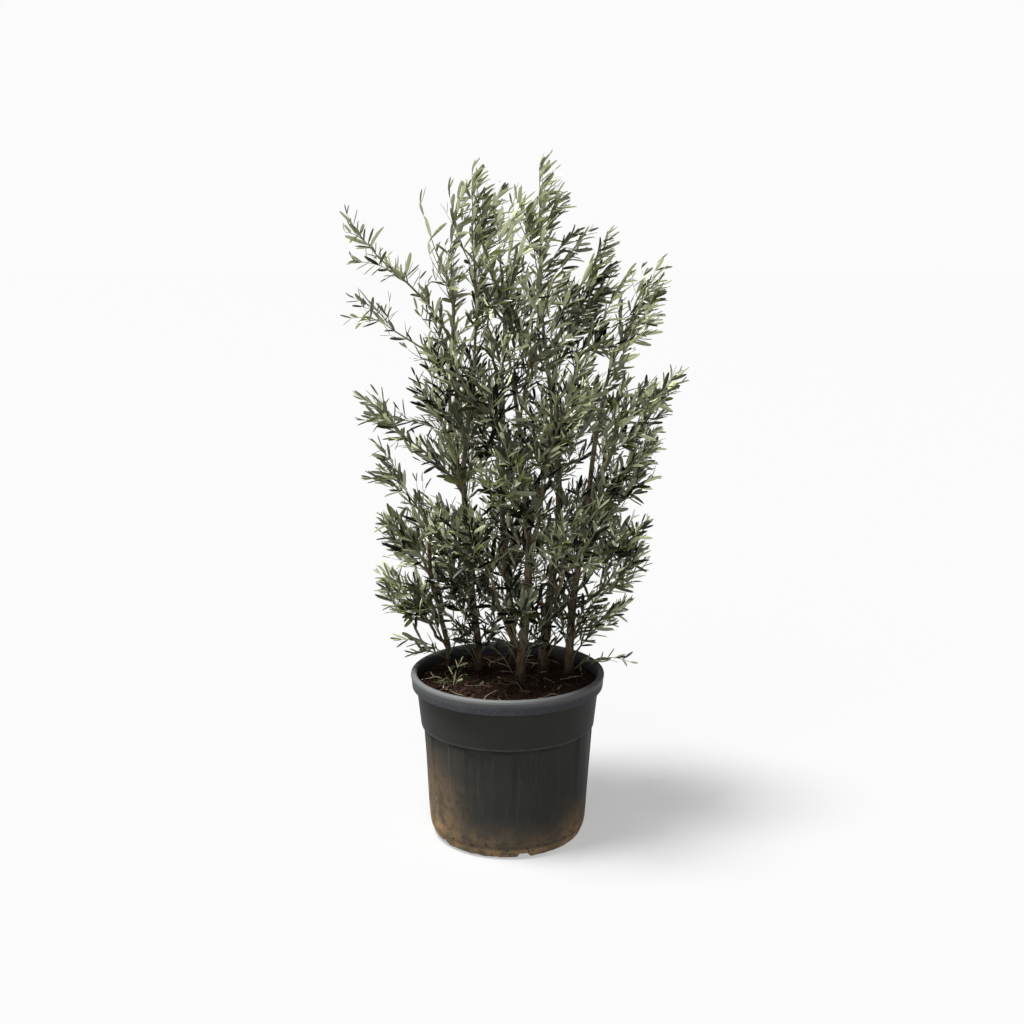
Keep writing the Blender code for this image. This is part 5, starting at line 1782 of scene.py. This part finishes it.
def thinned(middle, draw, part):
    """Which of these points are cleared away: those whose draw is under the open place's share."""
    gone = np.zeros(len(middle), bool)
    for x, z, radius, share in OPEN_PLACES:
        gone |= (np.hypot(middle[:, 0] - x, middle[:, 2] - z) < radius) & (draw < share * part)
    return gone


def standing(paths, chance):
    """Which shoots stand, after some of those in the open places are cleared away."""
    return ~thinned(paths[:, SHOOT_POINTS // 2], chance.random(len(paths)), SHOOTS_CLEARED)


def fallen(leaves, chance):
    """Which leaves are missing inside the open places, as seen from the front."""
    base, way, _, length, *_ = leaves
    return thinned(base + way * length[:, None] / 2, chance.random(len(base)), LEAVES_CLEARED)


class OLIVE_OT_twigs(Operator):
    """Grow the axes, twigs and shoots of every mass"""

    bl_idname = "olive.twigs"
    bl_label = "Twigs"

    def execute(self, context):
        settings = context.scene.olive_crown
        tubes, _ = fine_growth()
        looks = [
            plain_look("twig_old", settings.old_twig, 0.85),
            plain_look("twig_young", settings.young_twig, 0.7),
        ]
        groups, indices = [], []
        for kind, sides in (("axis", AXIS_SIDES), ("twig", TWIG_SIDES), ("shoot", SHOOT_SIDES)):
            paths, radii = (np.array(values) for values in zip(*tubes[kind]))
            groups.append(joined_tubes(paths, radii[:, :, None], sides))
        for part in (1, 2):
            for group, look in zip(groups, (0, 0, 1)):
                indices.append(np.full(len(group[part]), look))
        points, quads, fans = bundled(groups)
        piece = new_piece("crown_twigs", points, [quads, fans], looks, np.concatenate(indices))
        fitted(piece, "bark", *MASSES)
        return {"FINISHED"}


def leaf_looks(settings):
    """Plain colours of the leaves: six for the upper side, then four for the underside.

    Most are darker and lighter copies of one colour, as painted shade and painted light.
    """
    upper, under, young = settings.upper, settings.under, settings.young
    # Upper sides: darker and lighter copies as painted shade and painted light, then a lighter copy mixed
    # with the young colour, then the young leaf's own colour
    uppers = [
        shaded(upper, 0.09),
        shaded(upper, 0.32),
        shaded(upper, 0.64),
        shaded(upper, 1.35),
        shaded(upper, 1.5, young, 0.35),
        shaded(young, 1.02),
    ]
    # Undersides: darker and lighter copies as painted shade and painted light, the lightest a painted
    # highlight
    unders = [shaded(under, factor) for factor in (0.24, 0.56, 1.12, 1.80)]
    shines = (0.12, 0.40, 0.70, 1.00, 1.00, 0.80)
    looks = [plain_look(f"leaf_upper_{i + 1}", uppers[i], 0.30, shine) for i, shine in enumerate(shines)]
    return looks + [plain_look(f"leaf_under_{i + 1}", c, 0.50, 0.40) for i, c in enumerate(unders)]


def dealt_colours(bases, shoot, shoots, chance):
    """Colour numbers of each shoot's upper sides and undersides.

    A draw is shifted by how far out the shoot stands from the crown's middle line and how high,
    so deep shoots tend to the dark colours and those at the rim of the crown to the light ones:
    painted shade in the crown's depth and painted light at its rim and top.
    """
    middle = np.zeros((shoots, 3))
    np.add.at(middle, shoot, bases)
    middle /= np.maximum(np.bincount(shoot, minlength=shoots), 1)[:, None]
    outer = np.clip((np.hypot(middle[:, 0], middle[:, 1]) - OUTER_FROM) / OUTER_OVER, 0.0, 1.0)
    high = np.clip((middle[:, 2] - HIGH_FROM) / HIGH_OVER, 0.0, 1.0)
    light = np.maximum(outer * OUTER_LIGHT, high * HIGH_LIGHT)
    shift = (light - MIDDLE_LIGHT) * SHADE_BY_DEPTH
    greens = np.searchsorted(UPPER_SHARES, np.clip(chance.random(shoots) + shift, 0.0, 0.999))
    return greens, np.searchsorted(UNDER_SHARES, np.clip(chance.random(shoots) + shift, 0.0, 0.999))


class OLIVE_OT_leaves(Operator):
    """Set the leaves on the twigs, in six parts of the crown"""

    bl_idname = "olive.leaves"
    bl_label = "Leaves"

    def execute(self, context):
        limbs, _, _ = whole_growth()
        _, sets = fine_growth()
        looks = leaf_looks(context.scene.olive_crown)
        chance = np.random.default_rng(SEED + 1)
        for sector in SECTORS:
            leaves, upper, under = [], [], []
            for name, *values in sets:
                shoots = int(values[6].max()) + 1
                greens, greys = dealt_colours(values[0], values[6], shoots, chance)
                if sector_of(name) != sector:
                    continue
                free = free_leaves(values[:6], limbs)
                if name not in SECTORS:
                    free &= ~fallen(values, chance)
                leaves.append([value[free] for value in values[:6]])
                upper.append(greens[values[6]][free])
                under.append(greys[values[6]][free] + len(UPPER_SHARES) + 1)
            leaves = [np.concatenate(value) for value in zip(*leaves)]
            piece = leaves_piece(
                f"crown_leaves_{sector}", leaves, np.concatenate(upper), np.concatenate(under), looks
            )
            fitted(piece, "foliage", *masses_in(sector))
        return {"FINISHED"}


class OLIVE_OT_stage(Operator):
    """Set up the plain floor, the soft light and the camera"""

    bl_idname = "olive.stage"
    bl_label = "Stage"

    def execute(self, context):
        settings = context.scene.olive_stage
        mesh = bpy.data.meshes.new("floor")
        half = 40.0
        corners = [(-half, -half, 0.0), (half, -half, 0.0), (half, half, 0.0), (-half, half, 0.0)]
        mesh.from_pydata(corners, [], [(0, 1, 2, 3)])
        look = Look("floor_pale", 0.9, 0.15)
        look.colour(settings.floor)
        look.shader.inputs["Emission Strength"].default_value = settings.glow
        look.shader.inputs["Emission Color"].default_value = (1.0, 1.0, 1.0, 1.0)
        mesh.materials.append(look.material)
        floor = bpy.data.objects.new("floor", mesh)
        context.scene.collection.objects.link(floor)
        context.scene.world = studio_sky(settings)
        soft_light("key", (-0.27, -0.12, 0.95), 18.0, settings.key)
        soft_light("fill", (-0.25, -0.80, 0.52), 60.0, settings.fill)
        camera_data = bpy.data.cameras.new("photo_view")
        camera_data.lens = settings.lens
        camera_data.sensor_width = 36.0
        camera = bpy.data.objects.new("photo_view", camera_data)
        camera.location = (settings.aside, -settings.distance, settings.height)
        camera.rotation_euler = (math.pi / 2 - settings.pitch, 0.0, 0.0)
        context.scene.collection.objects.link(camera)
        context.scene.camera = camera
        context.scene.view_settings.view_transform = "Standard"
        return {"FINISHED"}


def studio_sky(settings):
    """Light from all sides, with a brighter backdrop where it is seen directly."""
    world = bpy.data.worlds.new("studio_sky")
    world.use_nodes = True
    tree = world.node_tree
    sky = tree.nodes["Background"]
    sky.inputs["Color"].default_value = (1.0, 1.0, 1.0, 1.0)
    seen = tree.nodes.new("ShaderNodeLightPath")
    level = tree.nodes.new("ShaderNodeMapRange")
    level.inputs["To Min"].default_value = settings.sky
    level.inputs["To Max"].default_value = settings.backdrop
    tree.links.new(seen.outputs["Is Camera Ray"], level.inputs["Value"])
    tree.links.new(level.outputs["Result"], sky.inputs["Strength"])
    return world


def soft_light(name, way, angle, strength):
    """Even light from one direction, out of a disc this many degrees wide."""
    data = bpy.data.lights.new(name, "SUN")
    data.angle = math.radians(angle)
    data.energy = strength
    light = bpy.data.objects.new(name, data)
    light.rotation_euler = Vector(way).to_track_quat("Z", "Y").to_euler()
    bpy.context.scene.collection.objects.link(light)


GROUPS = (
    ("olive_pot", PotSettings, "Pot", ("olive.pot",)),
    ("olive_soil", SoilSettings, "Soil", ("olive.soil", "olive.litter")),
    ("olive_limbs", LimbSettings, "Limbs", ("olive.limbs",)),
    ("olive_crown", CrownSettings, "Crown", ("olive.twigs", "olive.leaves")),
    ("olive_stage", StageSettings, "Stage", ("olive.stage",)),
)


class OLIVE_PT_bush(Panel):
    """Settings and steps of the olive bush"""

    bl_idname = "OLIVE_PT_bush"
    bl_label = "Olive bush"
    bl_space_type = "VIEW_3D"
    bl_region_type = "UI"
    bl_category = "Olive bush"

    def draw(self, context):
        for attribute, group, title, steps in GROUPS:
            box = self.layout.box()
            box.label(text=title)
            settings = getattr(context.scene, attribute)
            for name in group.__annotations__:
                box.prop(settings, name)
            for step in steps:
                box.operator(step)


OPERATORS = (
    OLIVE_OT_pot,
    OLIVE_OT_soil,
    OLIVE_OT_litter,
    OLIVE_OT_limbs,
    OLIVE_OT_twigs,
    OLIVE_OT_leaves,
    OLIVE_OT_stage,
)


def register():
    """Register the settings, the steps and the panel."""
    for attribute, group, _, _ in GROUPS:
        bpy.utils.register_class(group)
        setattr(bpy.types.Scene, attribute, PointerProperty(type=group))
    for operator in OPERATORS:
        bpy.utils.register_class(operator)
    bpy.utils.register_class(OLIVE_PT_bush)


def unregister():
    """Take back what register made."""
    bpy.utils.unregister_class(OLIVE_PT_bush)
    for operator in reversed(OPERATORS):
        bpy.utils.unregister_class(operator)
    for attribute, group, _, _ in reversed(GROUPS):
        delattr(bpy.types.Scene, attribute)
        bpy.utils.unregister_class(group)


def main():
    """Register the settings and steps, then make every piece in order."""
    register()
    for operator in OPERATORS:
        section, name = operator.bl_idname.split(".")
        getattr(getattr(bpy.ops, section), name)()


if __name__ == "__main__":
    main()
